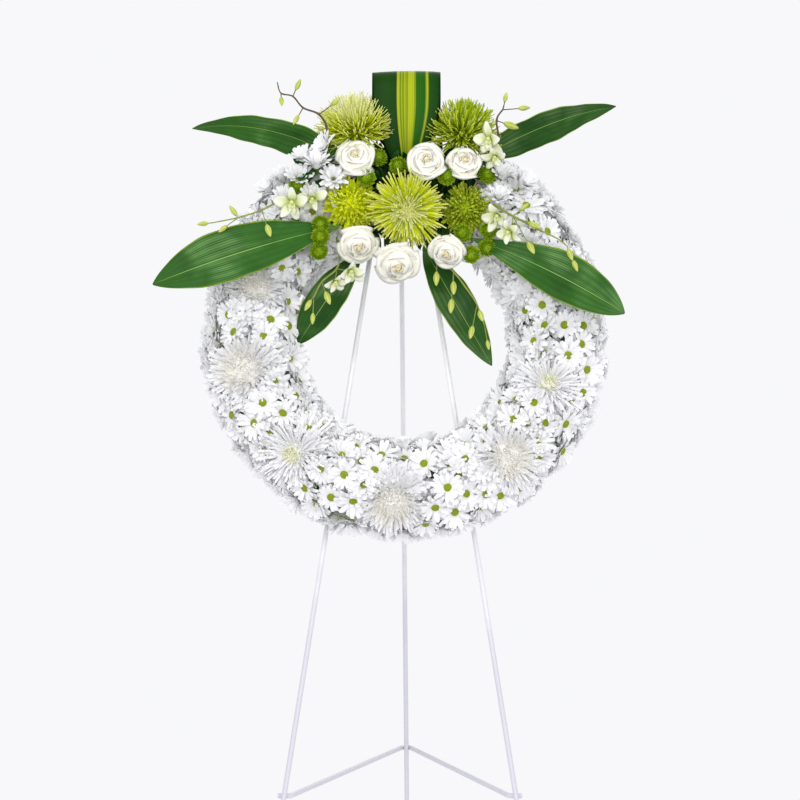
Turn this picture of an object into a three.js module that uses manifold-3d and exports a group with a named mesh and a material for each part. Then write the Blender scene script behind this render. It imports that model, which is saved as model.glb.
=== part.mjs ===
// A memorial wreath of white daisies and mums, with a green and white spray at its top, hung on a
// folding wire easel. Millimetres, +Z up, the front faces -Y, and the easel's feet stand at z = 0.
import * as THREE from "three";
import { mergeVertices } from "three/addons/utils/BufferGeometryUtils.js";
import Module from "manifold-3d";

const wasm = await Module();
wasm.setup();

// ---------------------------------------------------------------- Driving dimensions

const gap = 0.3; // left between two pieces that touch
const easel = {
  apexHeight: 1171, // hinge bolt above the floor
  frontSpread: 189, // each front foot from the middle
  frontReach: 200, // front feet ahead of the apex
  rearReach: 286, // rear foot behind the apex
  rearAside: 12, // rear foot to the right of the middle
  wire: 3.175, // radius of the quarter-inch wire
  eye: 6.7, // radius of the legs' top eyes, to the middle of their wire
  eyePitch: 7, // between the eyes along the bolt
  bolt: 3, // radius of the hinge bolt
  braceHeight: 300,
  crookSlack: 1.3, // between the brace's crook and the rear leg
  hookWire: 2,
};
const ring = {
  height: 856, // its centre above the floor
  aside: 6, // it hangs this far to the right of the easel's middle
  radius: 190.5, // middle of the foam
  trayHalf: 39.5, // half the tray's width at its lip
  trayDepth: 20.5,
  wall: 2.2,
  foamTop: 63, // front of the foam, from the plane of the front legs
  steps: 26,
};
const bed = {
  from: 112, // in degrees from +X: the daisies start at the upper left and go by the bottom
  sweep: 310,
  sprays: 11,
  skin: 61, // half the width of the flowered ring
  lining: 43,
  lump: 3.5, // how far the heads stand above and below the skin
  crest: 9, // how much prouder they stand beside the green spray, on the ring's outside
  middle: 31, // centre of the section, from the plane of the front legs
};

// ---------------------------------------------------------------- Colours

const finish = (color, roughness, metalness = 0) => ({ color, roughness, metalness });
const finishes = {
  wire: finish(0xe8e7ec, 0.45, 0.1),
  zinc: finish(0xb9bbbd, 0.35, 0.9),
  tray: finish(0x2e4a35, 0.5),
  foam: finish(0x3f6b3c, 0.95),
  petal: finish(0xf4f3ee, 0.7),
  rose: finish(0xf5efe2, 0.65),
  lime: finish(0xb5c94a, 0.7),
  button: finish(0x5d8a2b, 0.8),
  leaf: finish(0x1f5a28, 0.35),
  variegated: finish(0x3f7a2a, 0.35),
  orchid: finish(0xd8dfa0, 0.6),
};

// ---------------------------------------------------------------- Geometry helpers

const degrees = THREE.MathUtils.degToRad;

// The geometry with only its points left, each held once.
function bare(geometry) {
  geometry.deleteAttribute("normal");
  geometry.deleteAttribute("uv");
  return mergeVertices(geometry, 1e-4);
}

// The same closed mesh with every point moved by a rule.
function reshaped(geometry, rule) {
  const moved = bare(geometry);
  const points = moved.getAttribute("position");
  const point = new THREE.Vector3();
  for (let i = 0; i < points.count; i++) {
    point.fromBufferAttribute(points, i);
    points.setXYZ(i, ...rule(point).toArray());
  }
  return moved;
}

function solid(geometry) {
  const closed = bare(geometry);
  const vertProperties = closed.getAttribute("position").array;
  const triVerts = new Uint32Array(closed.index.array);
  return new wasm.Manifold(new wasm.Mesh({ numProp: 3, vertProperties, triVerts }));
}

function joined(...solids) {
  return solids.reduce((whole, next) => whole.add(next));
}

function geometryOf(body) {
  const { vertProperties, triVerts } = body.getMesh();
  const geometry = new THREE.BufferGeometry();
  geometry.setAttribute("position", new THREE.BufferAttribute(vertProperties, 3));
  geometry.setIndex(new THREE.BufferAttribute(triVerts, 1));
  geometry.computeVertexNormals();
  return geometry;
}

// A path whose steps fall on the given points, so a bend has several and a straight has none.
class WirePath extends THREE.Curve {
  constructor(points) {
    super();
    this.points = points;
  }
  step(u) {
    return Math.round(u * (this.points.length - 1));
  }
  getPointAt(u) {
    return this.points[this.step(u)].clone();
  }
  getTangentAt(u) {
    const i = this.step(u);
    const before = this.points[Math.max(i - 1, 0)];
    const after = this.points[Math.min(i + 1, this.points.length - 1)];
    return after.clone().sub(before).normalize();
  }
}

// A round wire or stem along the points.
function wire(points, radius, sides = 8) {
  const corner = (_, i) => {
    const turn = (2 * Math.PI * i) / sides;
    return new THREE.Vector2(Math.cos(turn), Math.sin(turn)).multiplyScalar(radius);
  };
  const section = new THREE.Shape(Array.from({ length: sides }, corner));
  const extrudePath = new WirePath(points);
  return new THREE.ExtrudeGeometry(section, { steps: points.length - 1, extrudePath });
}

// The points of a bent wire: its corners, each rounded by an arc of the radius given with it.
function bent(corners, steps = 5) {
  const last = corners.length - 1;
  return corners.flatMap(([corner, radius], i) => {
    if (i === 0 || i === last) return [corner];
    const inward = corners[i - 1][0].clone().sub(corner).normalize();
    const onward = corners[i + 1][0].clone().sub(corner).normalize();
    const half = inward.angleTo(onward) / 2;
    const middle = inward.clone().add(onward).normalize();
    const centre = middle.multiplyScalar(radius / Math.sin(half)).add(corner);
    const reach = radius / Math.tan(half);
    const start = corner.clone().addScaledVector(inward, reach).sub(centre);
    const end = corner.clone().addScaledVector(onward, reach).sub(centre);
    const whole = start.angleTo(end);
    return Array.from({ length: steps + 1 }, (_, k) => {
      const part = k / steps;
      const from = start.clone().multiplyScalar(Math.sin((1 - part) * whole) / Math.sin(whole));
      return from.addScaledVector(end, Math.sin(part * whole) / Math.sin(whole)).add(centre);
    });
  });
}

// A round shape from its [radius, height] profile, with its radius waved by points round the edge.
function turned(profile, sides, points = 0, depth = 0) {
  const outline = profile.map(([r, h]) => new THREE.Vector2(r, h));
  const lathe = new THREE.LatheGeometry(outline, sides);
  return reshaped(lathe, (p) => {
    const wave = 1 + depth * Math.cos(points * Math.atan2(p.z, p.x));
    return p.set(p.x * wave, p.y, p.z * wave);
  });
}

// ---------------------------------------------------------------- The easel

const apex = new THREE.Vector3(0, 0, easel.apexHeight);

// Centre of a leg's top eye: -1 left, 0 rear, 1 right.
function eyeOf(side) {
  return apex.clone().setX(side * easel.eyePitch);
}

function footOf(side) {
  if (side === 0) return new THREE.Vector3(easel.rearAside, easel.rearReach, 0);
  return new THREE.Vector3(side * easel.frontSpread, -easel.frontReach, 0);
}

function pointOnLeg(side, height) {
  const drop = (easel.apexHeight - height) / easel.apexHeight;
  return eyeOf(side).lerp(footOf(side), drop);
}

function eyelet(centre, radius, thickness) {
  const loop = new THREE.TorusGeometry(radius, thickness, 6, 14);
  loop.rotateY(Math.PI / 2);
  loop.translate(...centre.toArray());
  return solid(loop);
}

// A straight wire with an eye round the hinge bolt, cut flat where it stands.
function leg(side) {
  const eye = eyeOf(side);
  const start = eye.clone().addScaledVector(footOf(side).sub(eye).normalize(), easel.eye);
  const tooLow = pointOnLeg(side, -4 * easel.wire);
  const floor = new THREE.BoxGeometry(50, 50, 50);
  floor.translate(...footOf(side).setZ(-25).toArray());
  const rod = solid(wire([start, tooLow], easel.wire)).subtract(solid(floor));
  return rod.add(eyelet(eye, easel.eye, easel.wire));
}

const lug = { wire: 2, radius: 5.8, back: 8 }; // the small eye behind a front leg that holds the brace

function lugCentre(side) {
  const onLeg = pointOnLeg(side, easel.braceHeight);
  return onLeg.setY(onLeg.y + lug.back);
}

function frontLeg(side) {
  return leg(side).add(eyelet(lugCentre(side), lug.radius, lug.wire));
}

// A V of one wire: its ends turn in the front legs' lugs and its crook holds the rear leg.
function spreaderBrace() {
  const pintle = 8;
  const ends = [-1, 1].map((side) => {
    const centre = lugCentre(side);
    const tip = centre.clone().setX(centre.x + side * pintle);
    const elbow = centre.clone().setX(centre.x - side * pintle);
    return { tip, elbow };
  });
  const bend = 2 * easel.wire + easel.crookSlack;
  const held = pointOnLeg(0, easel.braceHeight);
  const back = held.y - ends[0].elbow.y;
  const halfAngle = Math.atan2(ends[1].elbow.x, back);
  const crook = held.clone().setY(held.y + bend / Math.sin(halfAngle));
  const path = bent(
    [
      [ends[0].tip, 0],
      [ends[0].elbow, 8],
      [crook, bend],
      [ends[1].elbow, 8],
      [ends[1].tip, 0],
    ],
    5,
  );
  return solid(wire(path, easel.wire, 8));
}

const boltEnd = 2 * easel.eyePitch;

function hingeBolt() {
  const { bolt } = easel;
  const profile = [
    [0, -boltEnd - 3],
    [5.2, -boltEnd - 3],
    [5.8, -boltEnd],
    [bolt, -boltEnd],
    [bolt, boltEnd + 4],
    [0, boltEnd + 4],
  ];
  const shape = turned(profile, 12);
  shape.rotateZ(-Math.PI / 2);
  shape.translate(...apex.toArray());
  return solid(shape);
}

function hingeNut() {
  const across = 5.6;
  const bore = (easel.bolt + gap) / Math.cos(Math.PI / 6);
  const profile = [
    [bore, boltEnd - 2],
    [across, boltEnd - 2],
    [across, boltEnd + 3],
    [bore, boltEnd + 3],
    [bore, boltEnd - 2],
  ];
  const shape = turned(profile, 6);
  shape.rotateZ(-Math.PI / 2);
  shape.translate(...apex.toArray());
  return solid(shape);
}

// ---------------------------------------------------------------- The wreath's own frame

// The ring lies in the plane of the front legs: x to the right, z up that plane, -y out of it.
const lean = Math.atan2(easel.frontReach, easel.apexHeight);
const ringBack = (-easel.frontReach * (easel.apexHeight - ring.height)) / easel.apexHeight;

function spot([x, up, out]) {
  return new THREE.Vector3(x, -out, up);
}

// A point of the ring by its angle from +X, its distance from the ring's axis and its height.
function onRing(angle, radius, out) {
  const turn = degrees(angle);
  return spot([radius * Math.cos(turn), radius * Math.sin(turn), out]);
}

// A shape that was made along +Y, standing at a place and facing along a direction.
function facing(geometry, place, direction) {
  const up = new THREE.Vector3(0, 1, 0);
  geometry.applyQuaternion(new THREE.Quaternion().setFromUnitVectors(up, direction));
  geometry.translate(...place.toArray());
  return geometry;
}

// ---------------------------------------------------------------- Tray, foam and hooks

const trayBack = easel.wire + gap;

function ringTray() {
  const { radius, trayHalf, wall, trayDepth } = ring;
  const lip = trayBack + trayDepth;
  const foot = trayHalf - 3.5;
  const profile = [
    [radius - foot, -trayBack],
    [radius + foot, -trayBack],
    [radius + trayHalf, -lip],
    [radius + trayHalf - wall, -lip],
    [radius + foot - wall, -trayBack - wall],
    [radius - foot + wall, -trayBack - wall],
    [radius - trayHalf + wall, -lip],
    [radius - trayHalf, -lip],
    [radius - foot, -trayBack],
  ];
  return solid(turned(profile.reverse(), ring.steps));
}

// The foam's half width and its distance from the legs' plane, from its back to its crown.
function foamRing() {
  const inside = ring.wall + 2 * gap;
  const back = trayBack + inside;
  const half = [
    [ring.trayHalf - 3.5 - inside, back],
    [ring.trayHalf - inside, trayBack + ring.trayDepth],
    [ring.trayHalf - 5.5, 43],
    [ring.trayHalf - 16, 57],
    [0, ring.foamTop],
  ];
  const outer = half.map(([width, out]) => [ring.radius + width, -out]);
  const inner = half.slice(0, -1).map(([width, out]) => [ring.radius - width, -out]);
  const profile = [...outer, ...inner.reverse(), outer[0]];
  return solid(turned(profile.reverse(), ring.steps));
}

// Height in the ring's plane at which a front leg's hook meets the ring's inner edge.
function hookHeight(side, reach) {
  const tallness = easel.apexHeight / Math.cos(lean);
  const slope = (side * (easel.frontSpread - easel.eyePitch)) / tallness;
  const top = (easel.apexHeight - ring.height) / Math.cos(lean);
  const across = side * easel.eyePitch + slope * top - ring.aside;
  const a = 1 + slope * slope;
  const b = -across * slope;
  const c = across * across - reach * reach;
  const up = (-b + Math.sqrt(b * b - a * c)) / a;
  return { x: across - slope * up, up, slope };
}

// A collar round the leg with a J hook in front of it that carries the ring's inner edge.
function wreathHook(side) {
  const { hookWire, wire: legWire } = easel;
  const edge = (ring.radius - ring.trayHalf) * Math.cos(Math.PI / ring.steps);
  const reach = edge - gap - hookWire;
  const { x, up, slope } = hookHeight(side, reach);
  const arm = ring.foamTop + 5;
  const drop = 11;
  const low = x + slope * drop;
  const corners = [
    [spot([low, up - drop, legWire + hookWire]), 0],
    [spot([x, up, legWire + 6]), 4],
    [spot([x, up, arm]), 5],
    [spot([x, up + 15, arm + 2]), 0],
  ];
  const collarSize = legWire + gap + 1.8;
  const direction = new THREE.Vector3(slope, 0, -1).normalize();
  const centre = spot([low, up - drop, 0]);
  const collar = (radius, length) => {
    const profile = [
      [0, -length],
      [radius, -length],
      [radius, length],
      [0, length],
    ];
    return solid(facing(turned(profile, 10), centre, direction));
  };
  const hook = solid(wire(bent(corners, 3), hookWire, 6));
  const bore = (legWire + gap) / Math.cos(Math.PI / 10);
  return joined(collar(collarSize, 6), hook).subtract(collar(bore, 10));
}

// ---------------------------------------------------------------- Flowers

const stemSides = 4;
const heads = {
  mum: {
    profile: [
      [0, -0.34],
      [1, -0.14],
      [0.8, 0.16],
      [0.74, 0.28],
      [0.36, 0.48],
      [0, 0.52],
    ],
    points: 10,
    depth: 0.08,
    stem: 3,
  },
  dome: {
    profile: [
      [0, -0.34],
      [0.94, -0.1],
      [0.95, 0.3],
      [0.72, 0.7],
      [0.34, 0.92],
      [0, 0.96],
    ],
    points: 10,
    depth: 0.07,
    stem: 3,
  },
  rose: {
    profile: [
      [0, -0.62],
      [0.55, -0.5],
      [1, 0.1],
      [0.8, 0.5],
      [0.5, 0.42],
      [0.3, 0.72],
      [0, 0.66],
    ],
    points: 5,
    depth: 0.07,
    stem: 2.6,
  },
  button: {
    profile: [
      [0, -0.75],
      [0.9, -0.45],
      [1, 0.3],
      [0.6, 0.8],
      [0, 1],
    ],
    points: 4,
    depth: 0.05,
    stem: 1.5,
  },
  bud: {
    profile: [
      [0, -1],
      [0.6, -0.6],
      [0.8, 0.4],
      [0, 1.6],
    ],
    points: 3,
    depth: 0.05,
    stem: 0.9,
  },
  blossom: {
    profile: [
      [0, -0.3],
      [1, 0.1],
      [0.3, 0.12],
      [0, 0.4],
    ],
    points: 5,
    depth: 0.25,
    stem: 1,
  },
};

// A head on the straight stem that holds it, facing away from the stem's foot.
function headOnStem(kind, place, foot, radius) {
  const { profile, points, depth, stem } = heads[kind];
  const direction = place.clone().sub(foot).normalize();
  const sized = profile.map(([r, h]) => [r * radius, h * radius]);
  const head = solid(facing(turned(sized, 2 * points, points, depth), place, direction));
  return head.add(solid(wire([foot, place], stem, stemSides)));
}

// The room that the same head and stem take, with the gap all round.
function roomOnStem(kind, place, foot, radius) {
  const { profile, points, depth, stem } = heads[kind];
  const direction = place.clone().sub(foot).normalize();
  const sides = Math.max(2 * points, 12);
  const widest = (radius * (1 + depth) + gap) / Math.cos(Math.PI / sides) + gap;
  const sized = profile.map(([r, h]) => [r * widest, h * (radius + 2 * gap) + Math.sign(h) * gap]);
  const head = solid(facing(turned(sized, sides), place, direction));
  const end = foot.clone().addScaledVector(direction, -2);
  return head.add(solid(wire([end, place], stem + 2 * gap, stemSides)));
}

// Blossoms and buds held by one arching stem.
function orchidSpray({ stem, blossoms, buds }, grow = 0) {
  const make = grow ? roomOnStem : headOnStem;
  const path = stem.map(spot);
  const held = (kind) => ([place, from, radius]) => make(kind, spot(place), path[from], radius);
  const stalk = solid(wire(path, 1.4 + grow, stemSides));
  return joined(stalk, ...blossoms.map(held("blossom")), ...buds.map(held("bud")));
}

// A blade along a curve, folded a little along its midrib, on a petiole pushed into the foam.
// Its belly is above 0.7 where it is widest towards the tip, and below where towards the base.
function blade({ root, base, middle, tip, width, belly, face }, grow = 0) {
  const line = new THREE.QuadraticBezierCurve3(spot(base), spot(middle), spot(tip));
  const front = spot(face).normalize();
  const sheet = new THREE.BoxGeometry(1, 1, 1, 2, 1, 9);
  const thickness = 1.2 + 2 * grow;
  const shape = reshaped(sheet, (p) => {
    const t = p.z + 0.5;
    const along = line.getTangent(t);
    const across = new THREE.Vector3().crossVectors(front, along).normalize();
    const out = new THREE.Vector3().crossVectors(along, across);
    const swell = Math.max(Math.sin(Math.PI * t ** belly) ** 0.75 || 0, 0.06);
    const side = p.x * (width * swell + 2 * grow);
    const end = Math.sign(p.z) * (Math.abs(p.z) === 0.5 ? grow : 0);
    const lift = 0.25 * Math.abs(side) + p.y * thickness;
    return p.copy(line.getPoint(t)).addScaledVector(across, side).addScaledVector(out, lift)
      .addScaledVector(along, end);
  });
  const inside = line.getPoint(0.06);
  return solid(shape).add(solid(wire([spot(root), spot(base), inside], 1.8 + grow, stemSides)));
}

// One broad leaf folded over into a loop, both of its ends pushed into the foam.
function foldedLeaf({ path, width }, grow = 0) {
  const line = new THREE.CatmullRomCurve3(path.map(spot));
  const strip = new THREE.BoxGeometry(1, 1, 1, 2, 1, 18);
  const thickness = 1.2 + 2 * grow;
  const right = new THREE.Vector3(1, 0, 0);
  return solid(
    reshaped(strip, (p) => {
      const t = p.z + 0.5;
      const out = new THREE.Vector3().crossVectors(line.getTangent(t), right).normalize();
      const taper = THREE.MathUtils.smoothstep(Math.min(t, 1 - t), 0, 0.3);
      const side = p.x * (width * THREE.MathUtils.lerp(0.14, 1, taper) + 2 * grow);
      const point = line.getPoint(t).addScaledVector(out, p.y * thickness);
      return p.copy(point.setX(point.x + side));
    }),
  );
}

const stemWire = 2.5;

function daisyStem(angle) {
  return [onRing(angle, ring.radius, 45), onRing(angle, ring.radius, 80)];
}

// A spray of daisies: the crowded heads make one lumpy cushion over a stretch of the foam.
function daisySpray(middle) {
  const cells = { along: 4, across: 8 };
  const slit = THREE.MathUtils.radToDeg(gap / (ring.radius - bed.skin));
  const turn = bed.sweep / bed.sprays - slit;
  const cushion = new THREE.BoxGeometry(1, 1, 1, cells.along, 1, cells.across);
  const wraps = 110; // degrees that the cushion reaches round the foam, each way from its crown
  const shape = reshaped(cushion, (p) => {
    const step = Math.round((p.x + 0.5) * cells.along) + Math.round((p.z + 0.5) * cells.across);
    const high = step % 2 ? bed.lump : -bed.lump;
    const round = degrees(90 + 2 * wraps * p.z);
    const above = Math.sin(degrees(middle - turn * p.x));
    const proud = bed.crest * THREE.MathUtils.smoothstep(above, 0.3, 0.85) * Math.cos(round);
    const size = p.y > 0 ? bed.skin + high + Math.max(proud, 0) : bed.lining;
    const radius = ring.radius + size * Math.cos(round);
    return onRing(middle - turn * p.x, radius, bed.middle + size * Math.sin(round));
  });
  const stem = wire(daisyStem(middle), stemWire, stemSides);
  return solid(shape).add(solid(stem));
}

// ---------------------------------------------------------------- Where each flower stands

// Every place in the wreath is [x, up, out] in millimetres: right, up the ring's face and out
// of it. A foot is [angle, radius, out] on the ring, where the stem goes into the foam.
const whiteMums = [
  { place: [-199, -48, 86], radius: 53 },
  { place: [-135, -152, 84], radius: 53 },
  { place: [-15, -212, 80], radius: 51 },
  { place: [128, -159, 86], radius: 50 },
  { place: [176, -66, 86], radius: 50 },
  { place: [-185, 56, 82], radius: 42 },
];

const roses = [
  { place: [-60, 212, 114], foot: [105, 200, 45], radius: 24 },
  { place: [26, 204, 120], foot: [83, 192, 45], radius: 25 },
  { place: [73, 205, 112], foot: [70, 198, 45], radius: 23 },
  { place: [-57, 104, 112], foot: [112, 168, 45], radius: 25 },
  { place: [-9, 81, 112], foot: [95, 163, 42], radius: 28 },
  { place: [53, 96, 106], foot: [66, 166, 42], radius: 23 },
];

const greenMums = {
  centre_green_mum: { kind: "mum", place: [2, 141, 124], foot: [89, 172, 48], radius: 46 },
  left_green_mum: { kind: "mum", place: [-67, 156, 102], foot: [112, 184, 45], radius: 34 },
  right_green_mum: { kind: "mum", place: [75, 151, 98], foot: [65, 182, 45], radius: 31 },
  top_left_green_mum: { kind: "dome", place: [-62, 264, 80], foot: [105, 208, 42], radius: 43 },
  top_right_green_mum: { kind: "dome", place: [74, 258, 80], foot: [74, 208, 42], radius: 41 },
};

const buttonSprays = [
  { foot: [100, 200, 45], buds: [[-33, 219, 102], [-48, 186, 119]] },
  { foot: [92, 200, 45], buds: [[-8, 206, 106]] },
  { foot: [77, 186, 45], buds: [[52, 190, 116]] },
  { foot: [62, 205, 45], buds: [[103, 197, 100]] },
  { foot: [54, 150, 42], buds: [[70, 119, 108], [105, 124, 104]] },
  { foot: [52, 160, 42], buds: [[81, 91, 104], [102, 101, 98]] },
  { foot: [127, 176, 45], buds: [[-104, 131, 104], [-104, 113, 108], [-106, 95, 102]] },
  { foot: [127, 215, 45], buds: [[-133, 182, 104]] },
];
const buttonRadius = 12;

const leaves = {
  upper_left_leaf: {
    root: [-62, 196, 48],
    base: [-74, 222, 60],
    middle: [-171, 274, 93],
    tip: [-267, 262, 74],
    width: 46,
    belly: 0.72,
    face: [0.1, -0.75, 0.65],
  },
  upper_right_leaf: {
    root: [84, 196, 48],
    base: [98, 228, 62],
    middle: [183, 272, 96],
    tip: [266, 291, 74],
    width: 46,
    belly: 0.75,
    face: [-0.1, -0.75, 0.65],
  },
  lower_left_leaf: {
    root: [-106, 140, 48],
    base: [-77, 133, 88],
    middle: [-194, 97, 126],
    tip: [-309, 54, 106],
    width: 69,
    belly: 1.3,
    face: [0, 0.1, 1],
  },
  lower_right_leaf: {
    root: [104, 142, 48],
    base: [78, 119, 84],
    middle: [174, 73, 132],
    tip: [269, 18, 104],
    width: 62,
    belly: 1.5,
    face: [0, 0.1, 1],
  },
  inner_left_leaf: {
    root: [-52, 156, 42],
    base: [-52, 109, 58],
    middle: [-96, 46, 76],
    tip: [-133, -10, 52],
    width: 48,
    belly: 1.2,
    face: [-0.2, 0, 1],
  },
  inner_right_leaf: {
    root: [43, 156, 42],
    base: [24, 112, 58],
    middle: [64, 32, 78],
    tip: [108, -38, 56],
    width: 48,
    belly: 0.95,
    face: [0.2, 0, 1],
  },
};

const loopLeaf = {
  path: [
    [2, 197, 48],
    [2, 222, 74],
    [2, 269, 92],
    [2, 319, 94],
    [2, 337, 72],
    [2, 321, 48],
    [2, 269, 38],
    [2, 241, 42],
    [2, 225, 48],
  ],
  width: 86,
};

// Each blossom or bud is its place, the stem's point that its stalk leaves and its radius.
const orchids = {
  upper_left_orchid: {
    stem: [
      [-104, 190, 46],
      [-108, 222, 92],
      [-97, 249, 112],
      [-107, 271, 104],
      [-127, 282, 97],
      [-140, 297, 96],
      [-155, 302, 94],
      [-160, 317, 91],
    ],
    blossoms: [],
    buds: [
      [[-134, 311, 96], 5, 5],
      [[-154, 291, 98], 6, 4.5],
      [[-135, 267, 98], 4, 4.5],
      [[-87, 281, 121], 3, 5],
    ],
  },
  upper_right_orchid: {
    stem: [[104, 194, 46], [116, 232, 102], [114, 262, 108], [122, 279, 98], [124, 286, 94]],
    blossoms: [[[105, 232, 118], 1, 16]],
    buds: [
      [[126, 296, 92], 4, 4.5],
      [[148, 283, 92], 3, 5],
      [[131, 259, 98], 2, 7],
    ],
  },
  left_orchid: {
    stem: [
      [-122, 158, 46],
      [-126, 168, 98],
      [-149, 161, 108],
      [-176, 146, 114],
      [-205, 136, 115],
      [-236, 130, 113],
    ],
    blossoms: [
      [[-113, 160, 114], 1, 14],
      [[-138, 153, 120], 2, 17],
    ],
    buds: [
      [[-247, 129, 112], 5, 4.5],
      [[-222, 122, 117], 4, 4.5],
      [[-210, 143, 116], 4, 5],
      [[-167, 118, 126], 3, 6],
    ],
  },
  right_orchid: {
    stem: [
      [118, 160, 46],
      [110, 156, 100],
      [133, 138, 114],
      [165, 119, 120],
      [186, 108, 122],
      [198, 98, 124],
    ],
    blossoms: [
      [[114, 138, 118], 1, 16],
      [[128, 115, 126], 2, 14],
    ],
    buds: [
      [[146, 149, 114], 2, 4.5],
      [[157, 124, 126], 2, 6],
      [[153, 96, 128], 2, 6],
      [[201, 88, 127], 5, 5.5],
      [[207, 74, 126], 5, 5],
    ],
  },
  lower_left_orchid: {
    stem: [[-88, 141, 46], [-81, 97, 92], [-84, 75, 100], [-102, 58, 102], [-112, 38, 100]],
    blossoms: [
      [[-67, 68, 116], 2, 15],
      [[-86, 56, 114], 2, 12],
    ],
    buds: [
      [[-95, 38, 108], 3, 6],
      [[-118, 30, 102], 3, 5],
      [[-113, 14, 98], 4, 4.5],
    ],
  },
  lower_right_orchid: {
    stem: [[40, 162, 42], [40, 96, 86], [60, 74, 90], [76, 52, 91], [89, 32, 90], [98, 6, 88]],
    blossoms: [],
    buds: [
      [[39, 66, 92], 1, 6],
      [[60, 53, 97], 2, 6],
      [[57, 30, 98], 2, 6],
      [[93, 18, 96], 4, 5.5],
      [[82, -2, 94], 4, 5.5],
      [[102, -17, 88], 5, 4],
    ],
  },
};

// ---------------------------------------------------------------- Fitting the pieces together

// The foot of a white mum is the middle of the foam straight behind it.
function footBehind([x, up]) {
  return onRing(THREE.MathUtils.radToDeg(Math.atan2(up, x)), ring.radius, 40);
}

function flower(name, kind, place, foot, radius, look) {
  return {
    name,
    look,
    body: headOnStem(kind, place, foot, radius),
    room: roomOnStem(kind, place, foot, radius),
  };
}

function buttonSpray({ foot, buds }, make) {
  return joined(...buds.map((bud) => make("button", spot(bud), onRing(...foot), buttonRadius)));
}

function flowers() {
  const made = [];
  roses.forEach(({ place, foot, radius }, i) => {
    made.push(flower(`rose_${i + 1}`, "rose", spot(place), onRing(...foot), radius, "rose"));
  });
  for (const [name, { kind, place, foot, radius }] of Object.entries(greenMums)) {
    made.push(flower(name, kind, spot(place), onRing(...foot), radius, "lime"));
  }
  whiteMums.forEach(({ place, radius }, i) => {
    const foot = footBehind(place);
    made.push(flower(`white_mum_${i + 1}`, "mum", spot(place), foot, radius, "petal"));
  });
  buttonSprays.forEach((spec, i) => {
    const body = buttonSpray(spec, headOnStem);
    const room = buttonSpray(spec, roomOnStem);
    made.push({ name: `green_button_spray_${i + 1}`, look: "button", body, room });
  });
  for (const [name, spec] of Object.entries(orchids)) {
    made.push({ name, look: "orchid", body: orchidSpray(spec), room: orchidSpray(spec, gap) });
  }
  made.push({
    name: "folded_leaf_loop",
    look: "variegated",
    body: foldedLeaf(loopLeaf),
    room: foldedLeaf(loopLeaf, gap),
  });
  for (const [name, spec] of Object.entries(leaves)) {
    made.push({ name, look: "leaf", body: blade(spec), room: blade(spec, gap) });
  }
  for (let i = 0; i < bed.sprays; i++) {
    const middle = bed.from + (i + 0.5) * (bed.sweep / bed.sprays);
    const [foot, head] = daisyStem(middle);
    const room = solid(wire([foot, head], stemWire + 2 * gap, stemSides));
    const name = `daisy_spray_${String(i + 1).padStart(2, "0")}`;
    made.push({ name, look: "petal", body: daisySpray(middle), room });
  }
  made.push({ name: "foam_ring", look: "foam", body: foamRing() });
  return made;
}

// A cut may leave crumbs beside the piece, which fall away.
function mainPart(body) {
  return body.decompose().reduce((main, other) => (other.volume() > main.volume() ? other : main));
}

// Each piece gives way to those before it in the list: crowded flowers press against each other.
function settled(pieces) {
  const rooms = [];
  for (const piece of pieces) {
    for (const room of rooms) {
      if (!piece.body.intersect(room).isEmpty()) piece.body = mainPart(piece.body.subtract(room));
    }
    if (piece.room) rooms.push(piece.room);
  }
  return pieces;
}

// ---------------------------------------------------------------- The whole object

function mesh(name, body, look) {
  const material = new THREE.MeshStandardMaterial(finishes[look]);
  const made = new THREE.Mesh(geometryOf(body), material);
  made.name = name;
  return made;
}

function buildEasel() {
  const group = new THREE.Group();
  group.add(mesh("left_front_leg", frontLeg(-1), "wire"));
  group.add(mesh("right_front_leg", frontLeg(1), "wire"));
  group.add(mesh("rear_leg", leg(0), "wire"));
  group.add(mesh("spreader_brace", spreaderBrace(), "wire"));
  group.add(mesh("hinge_bolt", hingeBolt(), "zinc"));
  group.add(mesh("hinge_nut", hingeNut(), "zinc"));
  return group;
}

function buildWreath() {
  const group = new THREE.Group();
  group.add(mesh("left_wreath_hook", wreathHook(-1), "wire"));
  group.add(mesh("right_wreath_hook", wreathHook(1), "wire"));
  group.add(mesh("ring_tray", ringTray(), "tray"));
  for (const { name, body, look } of settled(flowers())) group.add(mesh(name, body, look));
  group.rotation.x = -lean;
  group.position.set(ring.aside, ringBack, ring.height);
  return group;
}

// The whole object stands on z = 0 with the middle of its box over the origin.
function buildObject() {
  const group = new THREE.Group();
  group.add(buildEasel(), buildWreath());
  const middle = new THREE.Box3().setFromObject(group).getCenter(new THREE.Vector3());
  group.position.set(-middle.x, -middle.y, 0);
  return group;
}

const group = buildObject();

export default group;
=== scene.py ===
"""A memorial wreath of white daisies and mums on a folding wire easel, dressed for rendering.

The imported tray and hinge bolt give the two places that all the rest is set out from. Each solid
is replaced by the real thing: wires drawn along their bends, a moulded tray, wet foam, and
flowers grown petal by petal. Shapes are worked out in millimetres and stored in metres.
"""

from __future__ import annotations

import logging
import math
from dataclasses import dataclass, field
from enum import Enum
from typing import ClassVar

import bpy
import numpy as np
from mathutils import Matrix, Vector
from numpy.typing import NDArray


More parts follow.
